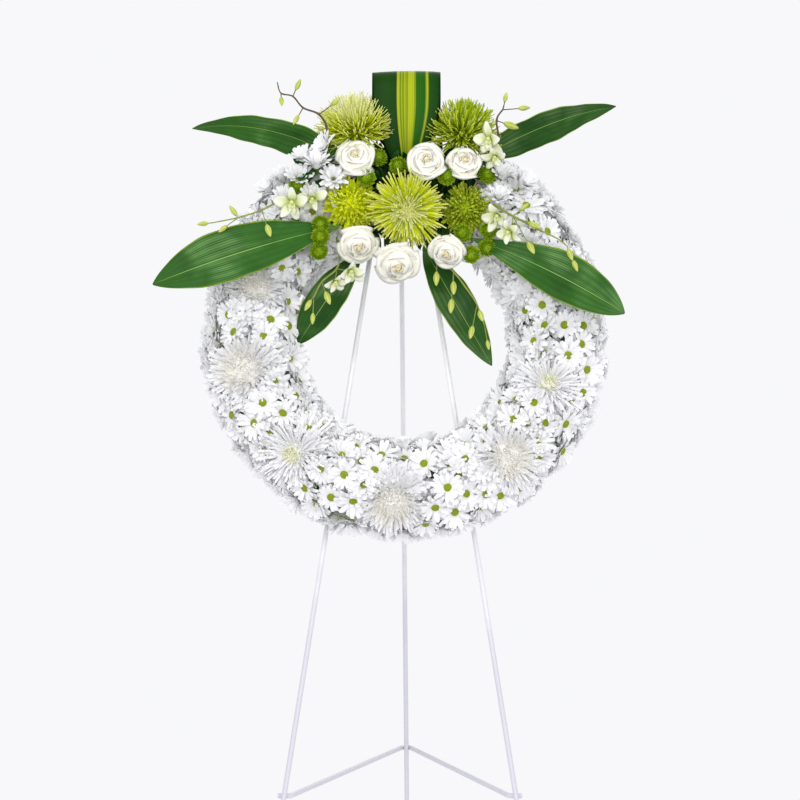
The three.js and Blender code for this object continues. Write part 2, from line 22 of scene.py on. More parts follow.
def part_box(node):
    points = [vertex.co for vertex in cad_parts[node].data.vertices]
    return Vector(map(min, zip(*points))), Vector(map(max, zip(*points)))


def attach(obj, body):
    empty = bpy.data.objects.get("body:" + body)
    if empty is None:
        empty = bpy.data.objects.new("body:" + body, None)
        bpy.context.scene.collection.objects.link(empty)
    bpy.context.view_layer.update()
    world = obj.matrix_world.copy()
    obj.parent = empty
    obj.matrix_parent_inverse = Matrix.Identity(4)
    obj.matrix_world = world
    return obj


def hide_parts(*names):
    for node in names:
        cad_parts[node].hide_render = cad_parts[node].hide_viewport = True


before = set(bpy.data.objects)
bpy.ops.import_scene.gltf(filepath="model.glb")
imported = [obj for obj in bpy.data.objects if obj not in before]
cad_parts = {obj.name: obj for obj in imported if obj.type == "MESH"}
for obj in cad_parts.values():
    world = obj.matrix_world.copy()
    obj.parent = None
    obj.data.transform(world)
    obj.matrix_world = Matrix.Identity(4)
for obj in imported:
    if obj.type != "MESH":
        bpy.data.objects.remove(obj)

Array = NDArray[np.float64]
Colour = tuple[float, float, float]
Place = tuple[float, float, float]
log = logging.getLogger("wreath")
GOLDEN = math.pi * (3 - math.sqrt(5))
METRE = 0.001
RING_RADIUS = 190.5  # of the foam ring's middle line
FOAM_MIDDLE = 31  # how far out of the wreath's plane the line is that the stems spread from
UV_NAME = "lay"


class Body(Enum):
    """The bodies that a piece may ride."""

    FRONT = "front_frame"
    REAR = "rear_leg"
    BRACE = "brace"


class Slot(Enum):
    """The record's material slots."""

    WIRE = "white_wire"
    ZINC = "zinc"
    TRAY = "tray"
    FOAM = "foam"
    WHITE = "white_petal"
    ROSE = "rose_petal"
    LIME = "green_mum"
    BUTTON = "green_button"
    LEAF = "leaf"
    VARIEGATED = "variegated_leaf"
    ORCHID = "orchid"


# ---------------------------------------------------------------- Whole-array geometry


def unit(vectors: Array) -> Array:
    """Vectors scaled to length one."""
    return vectors / np.maximum(np.linalg.norm(vectors, axis=-1, keepdims=True), 1e-9)


def smooth(values: Array, low: float, high: float) -> Array:
    """Values eased from 0 at low to 1 at high."""
    share = np.clip((values - low) / (high - low), 0, 1)
    return share * share * (3 - 2 * share)


def square_to(axes: Array) -> tuple[Array, Array]:
    """Two unit directions square to each axis and to each other."""
    axes = np.atleast_2d(axes)
    helper = np.where(np.abs(axes[:, 2:]) < 0.8, [[0.0, 0.0, 1.0]], [[1.0, 0.0, 0.0]])
    right = unit(np.cross(helper, axes))
    return right, np.cross(axes, right)


def spokes(axis: Array, turn: Array) -> Array:
    """Directions square to one axis, turned round it by angles in radians."""
    right, back = (v[0] for v in square_to(axis))
    return np.cos(turn)[..., None] * right + np.sin(turn)[..., None] * back


def astray(out: Array, rng: np.random.Generator) -> Array:
    """A random direction square to each of the directions out."""
    loose = rng.normal(0, 1, out.shape)
    return unit(loose - (loose * out).sum(axis=1, keepdims=True) * out)


def word(side: int) -> str:
    """The name of a side: -1 is left and 1 is right."""
    return "left" if side < 0 else "right"


def spline(knots: Array, count: int) -> Array:
    """A smooth line through the knots.

    Between two knots the point is the Catmull-Rom cubic of the four knots round it.

    Args:
        knots: The points that the line passes, in order.
        count: How many points the line gets.

    Returns:
        The line's points.
    """
    knots = np.asarray(knots, float)
    ends = np.vstack([2 * knots[0] - knots[1], knots, 2 * knots[-1] - knots[-2]])
    share = np.linspace(0, len(knots) - 1, count)
    first = np.minimum(share.astype(int), len(knots) - 2)
    f = (share - first)[:, None]
    a, b, c, d = (ends[first + k] for k in range(4))
    cubic = f**3 * (1.5 * (b - c) + (d - a) / 2)
    return b + f * (c - a) / 2 + f**2 * (a - 2.5 * b + 2 * c - d / 2) + cubic


def bent(corners: list[tuple[Array, float]], steps: int = 10) -> Array:
    """The line of a bent wire: straight between corners that are rounded by arcs.

    Each arc touches both straights, and its points are turned evenly about its centre.

    Args:
        corners: Each corner with the radius of its bend; the first and last are the ends.
        steps: Points in each bend.

    Returns:
        The line's points.
    """
    points = [corners[0][0][None]]
    for (before, _), (corner, radius), (after, _) in zip(corners, corners[1:], corners[2:]):
        inward, onward = unit(before - corner), unit(after - corner)
        half = math.acos(float(np.clip(inward @ onward, -1, 1))) / 2
        centre = corner + unit(inward + onward) * radius / math.sin(half)
        start = corner + inward * radius / math.tan(half) - centre
        end = corner + onward * radius / math.tan(half) - centre
        whole = math.pi - 2 * half
        share = np.linspace(0, 1, steps)[:, None]
        arc = start * np.sin((1 - share) * whole) + end * np.sin(share * whole)
        points.append(centre + arc / math.sin(whole))
    return np.vstack([*points, corners[-1][0][None]])


def tube(path: Array, radius: Array | float, sides: int, beside: Array) -> Array:
    """Rings round a path.

    A ring's point is the path's point plus the radius times (cos a right + sin a back), where
    right is square to the path and to the direction beside.

    Args:
        path: The middle line, one point a ring.
        radius: The tube's radius, the same all along or one for each ring.
        sides: Points in a ring.
        beside: A direction that the path never runs along.

    Returns:
        Rings of shape (1, points, sides, 3).
    """
    ahead = unit(np.gradient(path, axis=0))
    right = unit(np.cross(beside, ahead))
    back = np.cross(ahead, right)
    turn = np.linspace(0, 2 * np.pi, sides, endpoint=False)[:, None]
    ring = np.cos(turn) * right[:, None] + np.sin(turn) * back[:, None]
    size = np.broadcast_to(np.asarray(radius, float), len(path))
    return (path[:, None] + size[:, None, None] * ring)[None]


def rod(path: Array, radius: float, sides: int, beside: Array) -> Array:
    """Rings round a path whose two cut ends have a small chamfer."""
    start, end = unit(path[1] - path[0]), unit(path[-2] - path[-1])
    nick = 0.22 * radius
    line = np.vstack([path[0], path[0] + start * nick, path[1:-1], path[-1] + end * nick, path[-1]])
    size = np.full(len(line), radius)
    size[[0, -1]] = radius - nick
    return tube(line, size, sides, beside)


def turned(profile: Array, centres: Array, axes: Array, sides: int) -> Array:
    """Rings of round shapes made from one profile, each about its own axis.

    A ring's point is centre + height * axis + radius * (cos a right + sin a back).

    Args:
        profile: Rows of (radius, height).
        centres: Where each shape stands, (count, 3).
        axes: Each shape's axis, (count, 3).
        sides: Points in a ring.

    Returns:
        Rings of shape (count, rows, sides, 3).
    """
    centres, axes = np.atleast_2d(centres), np.atleast_2d(axes)
    right, back = square_to(axes)
    turn = np.linspace(0, 2 * np.pi, sides, endpoint=False)[None, None, :, None]
    ring = np.cos(turn) * right[:, None, None] + np.sin(turn) * back[:, None, None]
    rows = np.asarray(profile, float)[None, :, None]
    return centres[:, None, None] + rows[..., 1:] * axes[:, None, None] + rows[..., :1] * ring


def total(values: Array, share: Array) -> Array:
    """The running integral of values over share, along the last axis, from 0."""
    steps = (values[..., 1:] + values[..., :-1]) / 2 * np.diff(share)
    return np.concatenate([np.zeros_like(values[..., :1]), np.cumsum(steps, axis=-1)], axis=-1)


# ---------------------------------------------------------------- Shader expressions


class Signal:
    """One socket of a material that adds Math nodes when it is used in an expression."""

    def __init__(self, recipe: Recipe, socket: bpy.types.NodeSocket) -> None:
        """Wraps a socket of the recipe's tree."""
        self.recipe, self.socket = recipe, socket

    def _with(self, operation: str, first: Signal | float, second: Signal | float) -> Signal:
        """A Math node of two values."""
        settings = {"operation": operation}
        return self.recipe.node("ShaderNodeMath", settings, {0: first, 1: second})

    def __add__(self, other: Signal | float) -> Signal:
        """The sum."""
        return self._with("ADD", self, other)

    def __sub__(self, other: Signal | float) -> Signal:
        """The difference."""
        return self._with("SUBTRACT", self, other)

    def __rsub__(self, other: Signal | float) -> Signal:
        """The other value less this one."""
        return self._with("SUBTRACT", other, self)

    def __mul__(self, other: Signal | float) -> Signal:
        """The product."""
        return self._with("MULTIPLY", self, other)

    __radd__ = __add__
    __rmul__ = __mul__

    def sine(self) -> Signal:
        """The sine."""
        return self.recipe.node("ShaderNodeMath", {"operation": "SINE"}, {0: self})

    def wave(self) -> Signal:
        """The sine, moved to run from 0 to 1."""
        return self.sine() * 0.5 + 0.5

    def size(self) -> Signal:
        """The value without its sign."""
        return self.recipe.node("ShaderNodeMath", {"operation": "ABSOLUTE"}, {0: self})

    def eased(self, low: float, high: float) -> Signal:
        """0 at low, 1 at high and smooth between them."""
        sockets = {"Value": self, "From Min": low, "From Max": high}
        return self.recipe.node("ShaderNodeMapRange", {"interpolation_type": "SMOOTHSTEP"}, sockets)


class Recipe:
    """A material while its nodes are put together."""

    def __init__(self, name: str) -> None:
        """Starts an empty material of that name."""
        self.material = bpy.data.materials.new(name)
        self.material.use_nodes = True
        self.tree = self.material.node_tree
        self.tree.nodes.clear()

    def node(
        self,
        kind: str,
        settings: dict[str, object] | None = None,
        sockets: dict[str | int, object] | None = None,
        output: str | int = 0,
    ) -> Signal:
        """Adds a node.

        Args:
            kind: The node's type.
            settings: Its own settings, set before its sockets.
            sockets: A value or a signal for each input, by name or number.
            output: The output that is wanted.

        Returns:
            That output.
        """
        made = self.tree.nodes.new(kind)
        for name, value in (settings or {}).items():
            setattr(made, name, value)
        for key, value in (sockets or {}).items():
            if isinstance(value, Signal):
                self.tree.links.new(value.socket, made.inputs[key])
            else:
                made.inputs[key].default_value = value
        return Signal(self, made.outputs[output])

    def ramp(self, value: Signal, stops: dict[float, Colour]) -> Signal:
        """A colour read from stops along a value."""
        made = self.node("ShaderNodeValToRGB", None, {0: value})
        elements = made.socket.node.color_ramp.elements
        for spare in range(len(stops) - 2):
            elements.new(0.5 + spare * 0.001)
        for element, (place, colour) in zip(elements, sorted(stops.items())):
            element.position, element.color = place, (*colour, 1)
        return made

    def blend(self, first: object, second: object, share: Signal | float) -> Signal:
        """Two colours mixed: the first at share 0, the second at 1."""
        pair = [c if isinstance(c, Signal) else (*c, 1) for c in (first, second)]
        sockets = {0: share, 6: pair[0], 7: pair[1]}
        return self.node("ShaderNodeMix", {"data_type": "RGBA"}, sockets, 2)

    def shade(self, colour: Signal, share: Signal | float) -> Signal:
        """A colour multiplied by a grey share."""
        settings = {"data_type": "RGBA", "blend_type": "MULTIPLY"}
        grey = self.node("ShaderNodeCombineColor", None, {0: share, 1: share, 2: share})
        return self.node("ShaderNodeMix", settings, {0: 1.0, 6: colour, 7: grey}, 2)

    def own(self, name: str) -> Signal:
        """A value that the mesh carries at each point."""
        return self.node("ShaderNodeAttribute", {"attribute_name": name}, None, "Fac")

    def lay(self) -> tuple[Signal, Signal]:
        """How far across and how far along a petal, leaf or stem a point is, each 0 to 1."""
        place = self.node("ShaderNodeUVMap", {"uv_map": UV_NAME})
        across = self.node("ShaderNodeSeparateXYZ", None, {0: place}, "X")
        return across, Signal(self, across.socket.node.outputs["Y"])

    def place(self) -> Signal:
        """The object's own coordinates."""
        return self.node("ShaderNodeTexCoord", None, None, "Object")

    def noise(self, scale: float, detail: float = 2, warp: float = 0) -> Signal:
        """Smooth noise over the object's own coordinates, in features to the metre."""
        sockets = {"Vector": self.place(), "Scale": scale, "Detail": detail, "Distortion": warp}
        return self.node("ShaderNodeTexNoise", None, sockets)

    def cells(self, scale: float) -> Signal:
        """The distance to the nearest of scattered points, in cells to the metre."""
        return self.node("ShaderNodeTexVoronoi", None, {"Vector": self.place(), "Scale": scale})

    def bump(self, height: Signal, depth: float, strength: float = 1) -> Signal:
        """A normal raised by a height, whose full depth is in millimetres."""
        sockets = {"Strength": strength, "Distance": depth * METRE, "Height": height}
        return self.node("ShaderNodeBump", None, sockets)

    def end(self, surface: Signal) -> bpy.types.Material:
        """Joins a shader to the material's output."""
        output = self.tree.nodes.new("ShaderNodeOutputMaterial")
        self.tree.links.new(surface.socket, output.inputs["Surface"])
        return self.material

    def finish(self, **sockets: object) -> bpy.types.Material:
        """Ends the recipe with a Principled surface."""
        named = {name.replace("_", " ").title(): value for name, value in sockets.items()}
        named = {name.replace(" Ior ", " IOR "): value for name, value in named.items()}
        return self.end(self.node("ShaderNodeBsdfPrincipled", None, named))


def tone(code: str) -> Colour:
    """A linear colour from its six-figure hexadecimal code."""
    values = (int(code[i : i + 2], 16) / 255 for i in (0, 2, 4))
    return tuple(v / 12.92 if v < 0.04045 else ((v + 0.055) / 1.055) ** 2.4 for v in values)


def tones(codes: str) -> tuple[Colour, ...]:
    """Linear colours from hexadecimal codes with spaces between them."""
    return tuple(tone(code) for code in codes.split())


# ---------------------------------------------------------------- Finishes


@dataclass(frozen=True)
class Finish:
    """One way that a surface looks. Its material is made once, when first asked for."""

    name: str
    made: ClassVar[dict[str, bpy.types.Material]] = {}

    def material(self) -> bpy.types.Material:
        """The finish as a material."""
        if self.name not in Finish.made:
            Finish.made[self.name] = self.mix(Recipe(self.name))
        return Finish.made[self.name]

    def mix(self, recipe: Recipe) -> bpy.types.Material:
        """Puts the nodes together."""
        raise NotImplementedError


@dataclass(frozen=True)
class PetalFinish(Finish):
    """A petal: coloured from its heart to its tip, veined along, younger towards the centre."""

    heart: Colour = tone("f3f8d2")
    blade: Colour = tone("fbfbfc")
    edge: Colour = tone("fcfcfd")
    young: Colour = tone("fcf9f0")
    heart_reach: float = 0.2
    young_reach: float = 0.3
    veins: float = 7
    mottle: float = 0.03
    roughness: float = 0.55
    glow: float = 0.1
    shine: float = 0.25

    def mix(self, recipe: Recipe) -> bpy.types.Material:
        """Heart to blade to edge along the petal, the young colour by age, veins in a bump."""
        across, along = recipe.lay()
        colour = recipe.blend(self.heart, self.blade, along.eased(0.02, self.heart_reach))
        colour = recipe.blend(colour, self.edge, along.eased(0.6, 1))
        youth = 1 - recipe.own("age").eased(0.25 * self.young_reach, self.young_reach)
        colour = recipe.blend(colour, self.young, youth)
        vein = (across * (2 * math.pi * self.veins)).wave()
        mottled = recipe.noise(240) * 0.5 + recipe.own("chance") * 0.5
        colour = recipe.shade(colour, 1 - self.mottle * mottled - 0.035 * (1 - vein))
        grain = vein * 0.7 + recipe.noise(900) * 0.3
        return recipe.finish(
            base_color=colour,
            roughness=self.roughness + 0.15 * recipe.noise(400),
            normal=recipe.bump(grain, 0.1, 0.5),
            specular_ior_level=self.shine,
            subsurface_weight=self.glow,
            subsurface_radius=(1.0, 1.0, 1.0),
            subsurface_scale=0.004,
        )


@dataclass(frozen=True)
class EyeFinish(Finish):
    """A daisy's eye: packed florets with painted shade between them, paler round the rim."""

    # the colour of the painted shade between the florets
    dark: Colour = tone("8a9800")
    light: Colour = tone("b6c400")
    rim: Colour = tone("e6ee78")

    def mix(self, recipe: Recipe) -> bpy.types.Material:
        """Florets are round cells, with painted shade in the gaps; the rim's colour comes at the
        eye's foot.
        """
        _, along = recipe.lay()
        floret = recipe.cells(1300).eased(0.05, 0.6)
        # painted shade: darkest in the gaps between the florets
        colour = recipe.blend(self.light, self.dark, floret)
        colour = recipe.blend(colour, self.rim, 1 - along.eased(0.05, 0.3))
        return recipe.finish(
            base_color=colour, roughness=0.75, normal=recipe.bump(1 - floret, 0.6)
        )


@dataclass(frozen=True)
class LeafFinish(Finish):
    """A leaf with a pale midrib, veins that run its length, a pale margin and pale streaks of
    painted sheen.
    """

    dark: Colour = tone("143c0a")
    light: Colour = tone("3c7a20")
    # pale colour of the painted sheen, which stands for the lamps' reflection
    painted_sheen: Colour = tone("7fae66")
    rib: Colour = tone("8fb45c")
    margin: Colour = tone("9fc02c")
    margin_width: float = 0.03
    roughness: float = 0.42

    def mix(self, recipe: Recipe) -> bpy.types.Material:
        """Veins are fine waves across the blade, bent a little by noise."""
        across, along = recipe.lay()
        side = (across * 2 - 1).size()
        wander = recipe.noise(14, 3) * 2.2
        fine = (across * 150 + wander * 3).wave()
        broad = (across * 44 + wander * 2).wave()
        patches = recipe.noise(26, 4, 0.4)
        share = fine * 0.2 + broad * 0.12 + patches * 0.75 - 0.12
        colour = recipe.blend(self.dark, self.light, share)
        # painted sheen: pale streaks along the veins that stand for reflected light
        sheen_streaks = recipe.noise(17, 2, 0.5).eased(0.45, 0.75) * (fine * 0.35 + broad * 0.25)
        colour = recipe.blend(colour, self.painted_sheen, sheen_streaks)
        colour = recipe.blend(self.rib, colour, side.eased(0.005, 0.025))
        colour = recipe.blend(colour, self.rib, (1 - along.eased(0.0, 0.16)) * 0.5)
        low = 1 - 2 * self.margin_width
        colour = recipe.blend(colour, self.margin, side.eased(low, low + self.margin_width))
        height = fine * 0.3 + broad * 0.12 + side.eased(0.0, 0.08) * 0.6
        return recipe.finish(
            base_color=colour,
            roughness=self.roughness + 0.2 * patches,
            normal=recipe.bump(height, 0.35, 0.7),
            specular_ior_level=0.2,
        )


@dataclass(frozen=True)
class StripedFinish(Finish):
    """The variegated leaf: bands of cream, lime and greens that run its length."""

    def mix(self, recipe: Recipe) -> bpy.types.Material:
        """A ramp of colours across the blade, split by fine lines and bent by noise."""
        across, _ = recipe.lay()
        wander = (recipe.noise(9, 2) - 0.5) * 0.03
        places = (0.0, 0.2, 0.36, 0.37, 0.395, 0.41, 0.435, 0.455, 0.48, 0.51)
        places += (0.54, 0.6, 0.63, 0.645, 0.77, 0.79, 0.812, 0.826, 1.0)
        greens = tones("103800 1a4a02 154200 aab81a c2cc20 5f8406 aab818 6c8c08 b4c01c 7d950c")
        greens += tones("bcc61e b4c01c 869e0c 2a6a0a 24600a aab820 a0b01c 1c5208 123c04")
        stops = dict(zip(places, greens))
        colour = recipe.ramp(across + wander, stops)
        fine = ((across + wander) * 190).wave()
        colour = recipe.shade(colour, 0.6 + 0.2 * fine + 0.24 * recipe.noise(30, 3))
        return recipe.finish(
            base_color=colour,
            roughness=0.34 + 0.12 * recipe.noise(40),
            normal=recipe.bump(fine, 0.08, 0.5),
            specular_ior_level=0.1,
        )


@dataclass(frozen=True)
class StemFinish(Finish):
    """A stem or a bud: streaked along its length."""

    dark: Colour = tone("2b5a22")
    light: Colour = tone("74a044")

    def mix(self, recipe: Recipe) -> bpy.types.Material:
        """Streaks round the stem and slow mottling."""
        across, along = recipe.lay()
        streak = (across * 38).sine() * 0.25 + recipe.noise(160, 3) * 0.9
        share = streak + along * 0.25 - 0.15
        return recipe.finish(
            base_color=recipe.blend(self.dark, self.light, share),
            roughness=0.5 + 0.15 * recipe.noise(90),
            normal=recipe.bump(streak, 0.3, 0.7),
        )


@dataclass(frozen=True)
class WireFinish(Finish):
    """Powder-coated wire: near white, faintly dimpled, and greyed towards the floor by painted
    shade.
    """

    coat: Colour = tone("ffffff")
    shadow: Colour = tone("f6f5fa")
    # grey of the painted shade on the wire near the floor
    painted_low_shade: Colour = tone("d2d1da")

    def mix(self, recipe: Recipe) -> bpy.types.Material:
        """Slow clouding of the coat, painted shade that greys it low down by height, and a fine
        orange peel.
        """
        cloud = recipe.noise(24, 4).eased(0.35, 0.75)
        height = recipe.node("ShaderNodeSeparateXYZ", None, {0: recipe.place()}, "Z")
        colour = recipe.blend(self.coat, self.shadow, cloud)
        # painted shade: the coat turns grey below about 0.8 m, towards the floor
        colour = recipe.blend(self.painted_low_shade, colour, (height + 0.1 * cloud).eased(0.45, 0.8))
        return recipe.finish(
            base_color=colour,
            roughness=0.34 + 0.14 * recipe.noise(60, 3),
            normal=recipe.bump(recipe.noise(700, 2), 0.15, 0.5),
            coat_weight=0.2,
            coat_roughness=0.3,
        )


@dataclass(frozen=True)
class ZincFinish(Finish):
    """Zinc plate: spangled, with a thread of fine rings."""

    def mix(self, recipe: Recipe) -> bpy.types.Material:
        """Spangles as cells; brighter on some than on others."""
        spangle = recipe.cells(500)
        colour = recipe.blend(tone("8e9092"), tone("c9cbcc"), spangle)
        return recipe.finish(
            base_color=colour,
            metallic=1.0,
            roughness=0.25 + 0.25 * recipe.noise(300, 3),
            normal=recipe.bump(recipe.noise(900), 0.1, 0.4),
        )


@dataclass(frozen=True)
class TrayFinish(Finish):
    """Moulded plastic: even colour with flow marks and a fine spark texture."""

    def mix(self, recipe: Recipe) -> bpy.types.Material:
        """Flow marks from slow noise, spark texture from fine noise."""
        flow = recipe.noise(16, 3, 1.2)
        return recipe.finish(
            base_color=recipe.blend(tone("22402a"), tone("35573d"), flow),
            roughness=0.42 + 0.2 * flow,
            normal=recipe.bump(recipe.noise(1400, 2), 0.08, 0.6),
        )


@dataclass(frozen=True)
class FoamFinish(Finish):
    """Wet floral foam: crumbly cells with painted shade in their pores, dark where it is soaked."""

    def mix(self, recipe: Recipe) -> bpy.types.Material:
        """Pores as small cells, darkened inside by painted shade; dampness as slow noise."""
        pore = recipe.cells(420).eased(0.1, 0.55)
        damp = recipe.noise(22, 4)
        colour = recipe.blend(tone("1d3a1e"), tone("40663a"), damp)
        return recipe.finish(
            # painted shade: the colour darkens towards the middle of each pore
            base_color=recipe.shade(colour, 0.6 + 0.4 * pore),
            roughness=0.8 + 0.15 * pore,
            normal=recipe.bump(pore * 0.7 + recipe.noise(260) * 0.3, 1.2, 0.9),
        )


@dataclass(frozen=True)
class FloorFinish(Finish):
    """The studio floor: pale, and gone towards its rim so that it has no edge."""

    fade_from: float = 0.75
    fade_to: float = 1.18

    def mix(self, recipe: Recipe) -> bpy.types.Material:
        """A pale matt surface mixed with clear air by the distance from the middle."""
        sockets = {0: recipe.place()}
        far = recipe.node("ShaderNodeVectorMath", {"operation": "LENGTH"}, sockets, "Value")
        colour = recipe.blend(tone("f6f6f8"), tone("f1f1f4"), recipe.noise(6, 3))
        matt = recipe.node("ShaderNodeBsdfDiffuse", None, {"Color": colour})
        clear = recipe.node("ShaderNodeBsdfTransparent")
        fade = far.eased(self.fade_from, self.fade_to)
        return recipe.end(recipe.node("ShaderNodeMixShader", None, {0: fade, 1: matt, 2: clear}))


WIRE = WireFinish("powder_coat")
ZINC = ZincFinish("zinc_plate")
TRAY = TrayFinish("tray_plastic")
FOAM = FoamFinish("wet_foam")
DAISY = PetalFinish("daisy_petal")
EYE = EyeFinish("daisy_eye")
MUM = PetalFinish("mum_petal", young=tone("fefcf5"), young_reach=0.5, heart=tone("fefdf6"))
SPIDER = PetalFinish("spider_petal", young=tone("f6f6cc"), young_reach=0.13, heart=tone("fcfaee"))
ROSE = PetalFinish("rose_petal", *tones("f8f0d0 fdfbe9 fdfbf0 fcf0c8"), young_reach=0.5)
PALE_LIME = PetalFinish(
    "pale_lime_petal", *tones("a8ba00 dce61e eef08c f4f5b0"), 0.6, 0.36, shine=0.08
)
LIME = PetalFinish("lime_petal", *tones("bed000 f0fa1c f6fc60 e8f016"), 0.6, 0.3, shine=0.08)
MOSS = PetalFinish("moss_petal", *tones("7c9804 b2c61a d4dd5a a8c01a"), 0.6, 0.3, shine=0.08)
BUTTON = PetalFinish("button_petal", *tones("4a7a00 7ea00c a2be28 6c920c"), 0.5, 0.35, shine=0.08)
GHOST = PetalFinish("orchid_petal", *tones("c6d46a f0f4d2 fafbf0 dfe69c"), 0.6, 0.2)
LEAF = LeafFinish("broad_leaf")
# the third colour of a leaf finish is its painted sheen
DEEP = LeafFinish("deep_leaf", *tones("0d3006 2c6414 74985c"))
GREENS = LeafFinish("filler_leaf", *tones("0f3315 2a6a2a 4a7c3c 5b8f3c"))
STRIPED = StripedFinish("striped_leaf")
STEM = StemFinish("green_stem")
TWIG = StemFinish("dark_twig", *tones("3a2c1e 6e5c44"))
SPRIG = StemFinish("orchid_sprig", *tones("6c7a22 a9b45a"))
BUD = StemFinish("orchid_bud", *tones("a0b028 dbe080"))
FLOOR = FloorFinish("studio_floor")


# ---------------------------------------------------------------- Pieces


@dataclass
class Shells:
    """Closed shells of one finish, as arrays ready to go into a mesh."""

    finish: Finish
    points: Array
    quads: NDArray[np.int64]
    fans: NDArray[np.int64]
    lay: Array
    age: Array
    chance: Array


def stitched(count: int, rows: int, sides: int, wrapped: bool) -> tuple[NDArray, NDArray]:
    """The faces of shells made of rings: quads from ring to ring and a fan on each end.

    Args:
        count: How many shells there are.
        rows: Rings in each shell.
        sides: Points in each ring.
        wrapped: Whether the last ring joins the first, so that there are no ends.

    Returns:
        The quads and the triangles, as point numbers.
    """
    size = rows * sides + (0 if wrapped else 2)
    first = (np.arange(count) * size)[:, None, None, None]
    row = np.arange(rows if wrapped else rows - 1)[:, None]
    here, there = row * sides, (row + 1) % rows * sides
    side = np.arange(sides)[None]
    after = (side + 1) % sides
    corners = np.stack(np.broadcast_arrays(here + side, here + after, there + after, there + side))
    quads = (first + corners.transpose(1, 2, 0)[None]).reshape(-1, 4)
    if wrapped:
        return quads, np.empty((0, 3), int)
    last = (rows - 1) * sides
    pole = np.full(sides, rows * sides)
    low = np.stack([pole, after[0], side[0]], axis=-1)
    high = np.stack([pole + 1, last + side[0], last + after[0]], axis=-1)
    return quads, (first[:, 0] + np.concatenate([low, high])[None]).reshape(-1, 3)


class Piece:
    """One part of the object: closed shells gathered into one mesh."""

    def __init__(self, name: str) -> None:
        """Starts an empty piece."""
        self.name = name
        self.shells: list[Shells] = []

    def add(
        self,
        rings: Array,
        finish: Finish,
        across: Array | None = None,
        age: Array | float = 1.0,
        chance: Array | float = 0.5,
        wrapped: bool = False,
    ) -> None:
        """Adds shells given by their rings, with an end point in the middle of each end.

        Args:
            rings: Points of shape (count, rows, sides, 3), turning anticlockwise along the rows.
            finish: What they look like.
            across: The first pattern coordinate of each point of a ring; evenly round if left out.
            age: From 0 at a flower's heart to 1 at its outside, one for each shell.
            chance: A random number for each shell.
            wrapped: Whether the last ring joins the first.
        """
        count, rows, sides, _ = rings.shape
        quads, fans = stitched(count, rows, sides, wrapped)
        u = np.arange(sides) / sides if across is None else across
        v = np.linspace(0, 1, rows)
        lay = np.stack(np.broadcast_arrays(u[None], v[:, None]), axis=-1).reshape(1, -1, 2)
        points = rings.reshape(count, -1, 3)
        if not wrapped:
            ends = np.stack([rings[:, 0].mean(axis=1), rings[:, -1].mean(axis=1)], axis=1)
            points = np.concatenate([points, ends], axis=1)
            lay = np.concatenate([lay, [[[0.5, 0.0], [0.5, 1.0]]]], axis=1)
        size = points.shape[1]
        lay = np.broadcast_to(lay, (count, size, 2)).reshape(-1, 2)
        ages = np.repeat(np.broadcast_to(np.asarray(age, float), count), size)
        luck = np.repeat(np.broadcast_to(np.asarray(chance, float), count), size)
        self.shells.append(Shells(finish, points.reshape(-1, 3), quads, fans, lay, ages, luck))

    def add_blades(
        self,
        middle: Array,
        thickness: float,
        finish: Finish,
        age: Array | float = 1.0,
        chance: Array | float = 0.5,
    ) -> None:
        """Adds thin blades given by their middle surfaces.

        The upper and lower faces stand off the middle surface along its normal by half the
        thickness times (1 - t squared), so that they meet in a fine edge where t is -1 and 1.

        Args:
            middle: Points of shape (count, rows, columns, 3), with t from -1 to 1 over the columns.
            thickness: The blade's thickness at its middle.
            finish: What it looks like.
            age: From 0 at a flower's heart to 1 at its outside, one for each blade.
            chance: A random number for each blade.
        """
        normal = unit(np.cross(np.gradient(middle, axis=1), np.gradient(middle, axis=2)))
        t = np.linspace(-1, 1, middle.shape[2])
        swell = normal * (thickness / 2 * (1 - t**2))[:, None]
        upper, lower = middle + swell, middle - swell
        rings = np.concatenate([upper[:, :, ::-1], lower[:, :, 1:-1]], axis=2)
        across = np.concatenate([t[::-1], t[1:-1]]) / 2 + 0.5
        self.add(rings, finish, across, age, chance)

    def build(self, body: Body, slot: Slot, *nodes: str, crease: float = 180) -> None:
        """Puts the shells into one mesh that rides a body and stands for CAD nodes.

        Args:
            body: The body that it rides.
            slot: The record's slot for its finish; not used.
            nodes: The CAD nodes that it replaces.
            crease: Edges bent by more than this many degrees are drawn sharp.
        """
        starts = np.cumsum([0] + [len(s.points) for s in self.shells])
        quads = np.concatenate([s.quads + k for s, k in zip(self.shells, starts)])
        fans = np.concatenate([s.fans + k for s, k in zip(self.shells, starts)])
        points = np.concatenate([s.points for s in self.shells]) * METRE
        mesh = bpy.data.meshes.new(self.name)
        mesh.from_pydata(points, [], quads.tolist() + fans.tolist())
        kinds = list(dict.fromkeys(s.finish for s in self.shells))
        for kind in kinds:
            mesh.materials.append(kind.material())
        index = [kinds.index(s.finish) for s in self.shells]
        worn = np.concatenate(
            [np.repeat(index, [len(s.quads) for s in self.shells])]
            + [np.repeat(index, [len(s.fans) for s in self.shells])]
        )
        mesh.polygons.foreach_set("material_index", worn.astype(np.int32))
        mesh.polygons.foreach_set("use_smooth", np.ones(len(mesh.polygons), bool))
        corners = np.empty(len(mesh.loops), np.int32)
        mesh.loops.foreach_get("vertex_index", corners)
        lay = np.concatenate([s.lay for s in self.shells])[corners]
        mesh.uv_layers.new(name=UV_NAME).data.foreach_set("uv", lay.astype(np.float32).ravel())
        for name in ("age", "chance"):
            values = np.concatenate([getattr(s, name) for s in self.shells])
            attribute = mesh.attributes.new(name, "FLOAT", "POINT")
            attribute.data.foreach_set("value", values.astype(np.float32))
        if crease < 180:
            mesh.set_sharp_from_angle(angle=math.radians(crease))
        mesh.update()
        made = bpy.data.objects.new(self.name, mesh)
        bpy.context.scene.collection.objects.link(made)
        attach(made, body.value)
        if nodes:
            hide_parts(*nodes)
        log.info("%s: %d faces on %s", self.name, len(mesh.polygons), body.value)


# ---------------------------------------------------------------- The two frames of reference


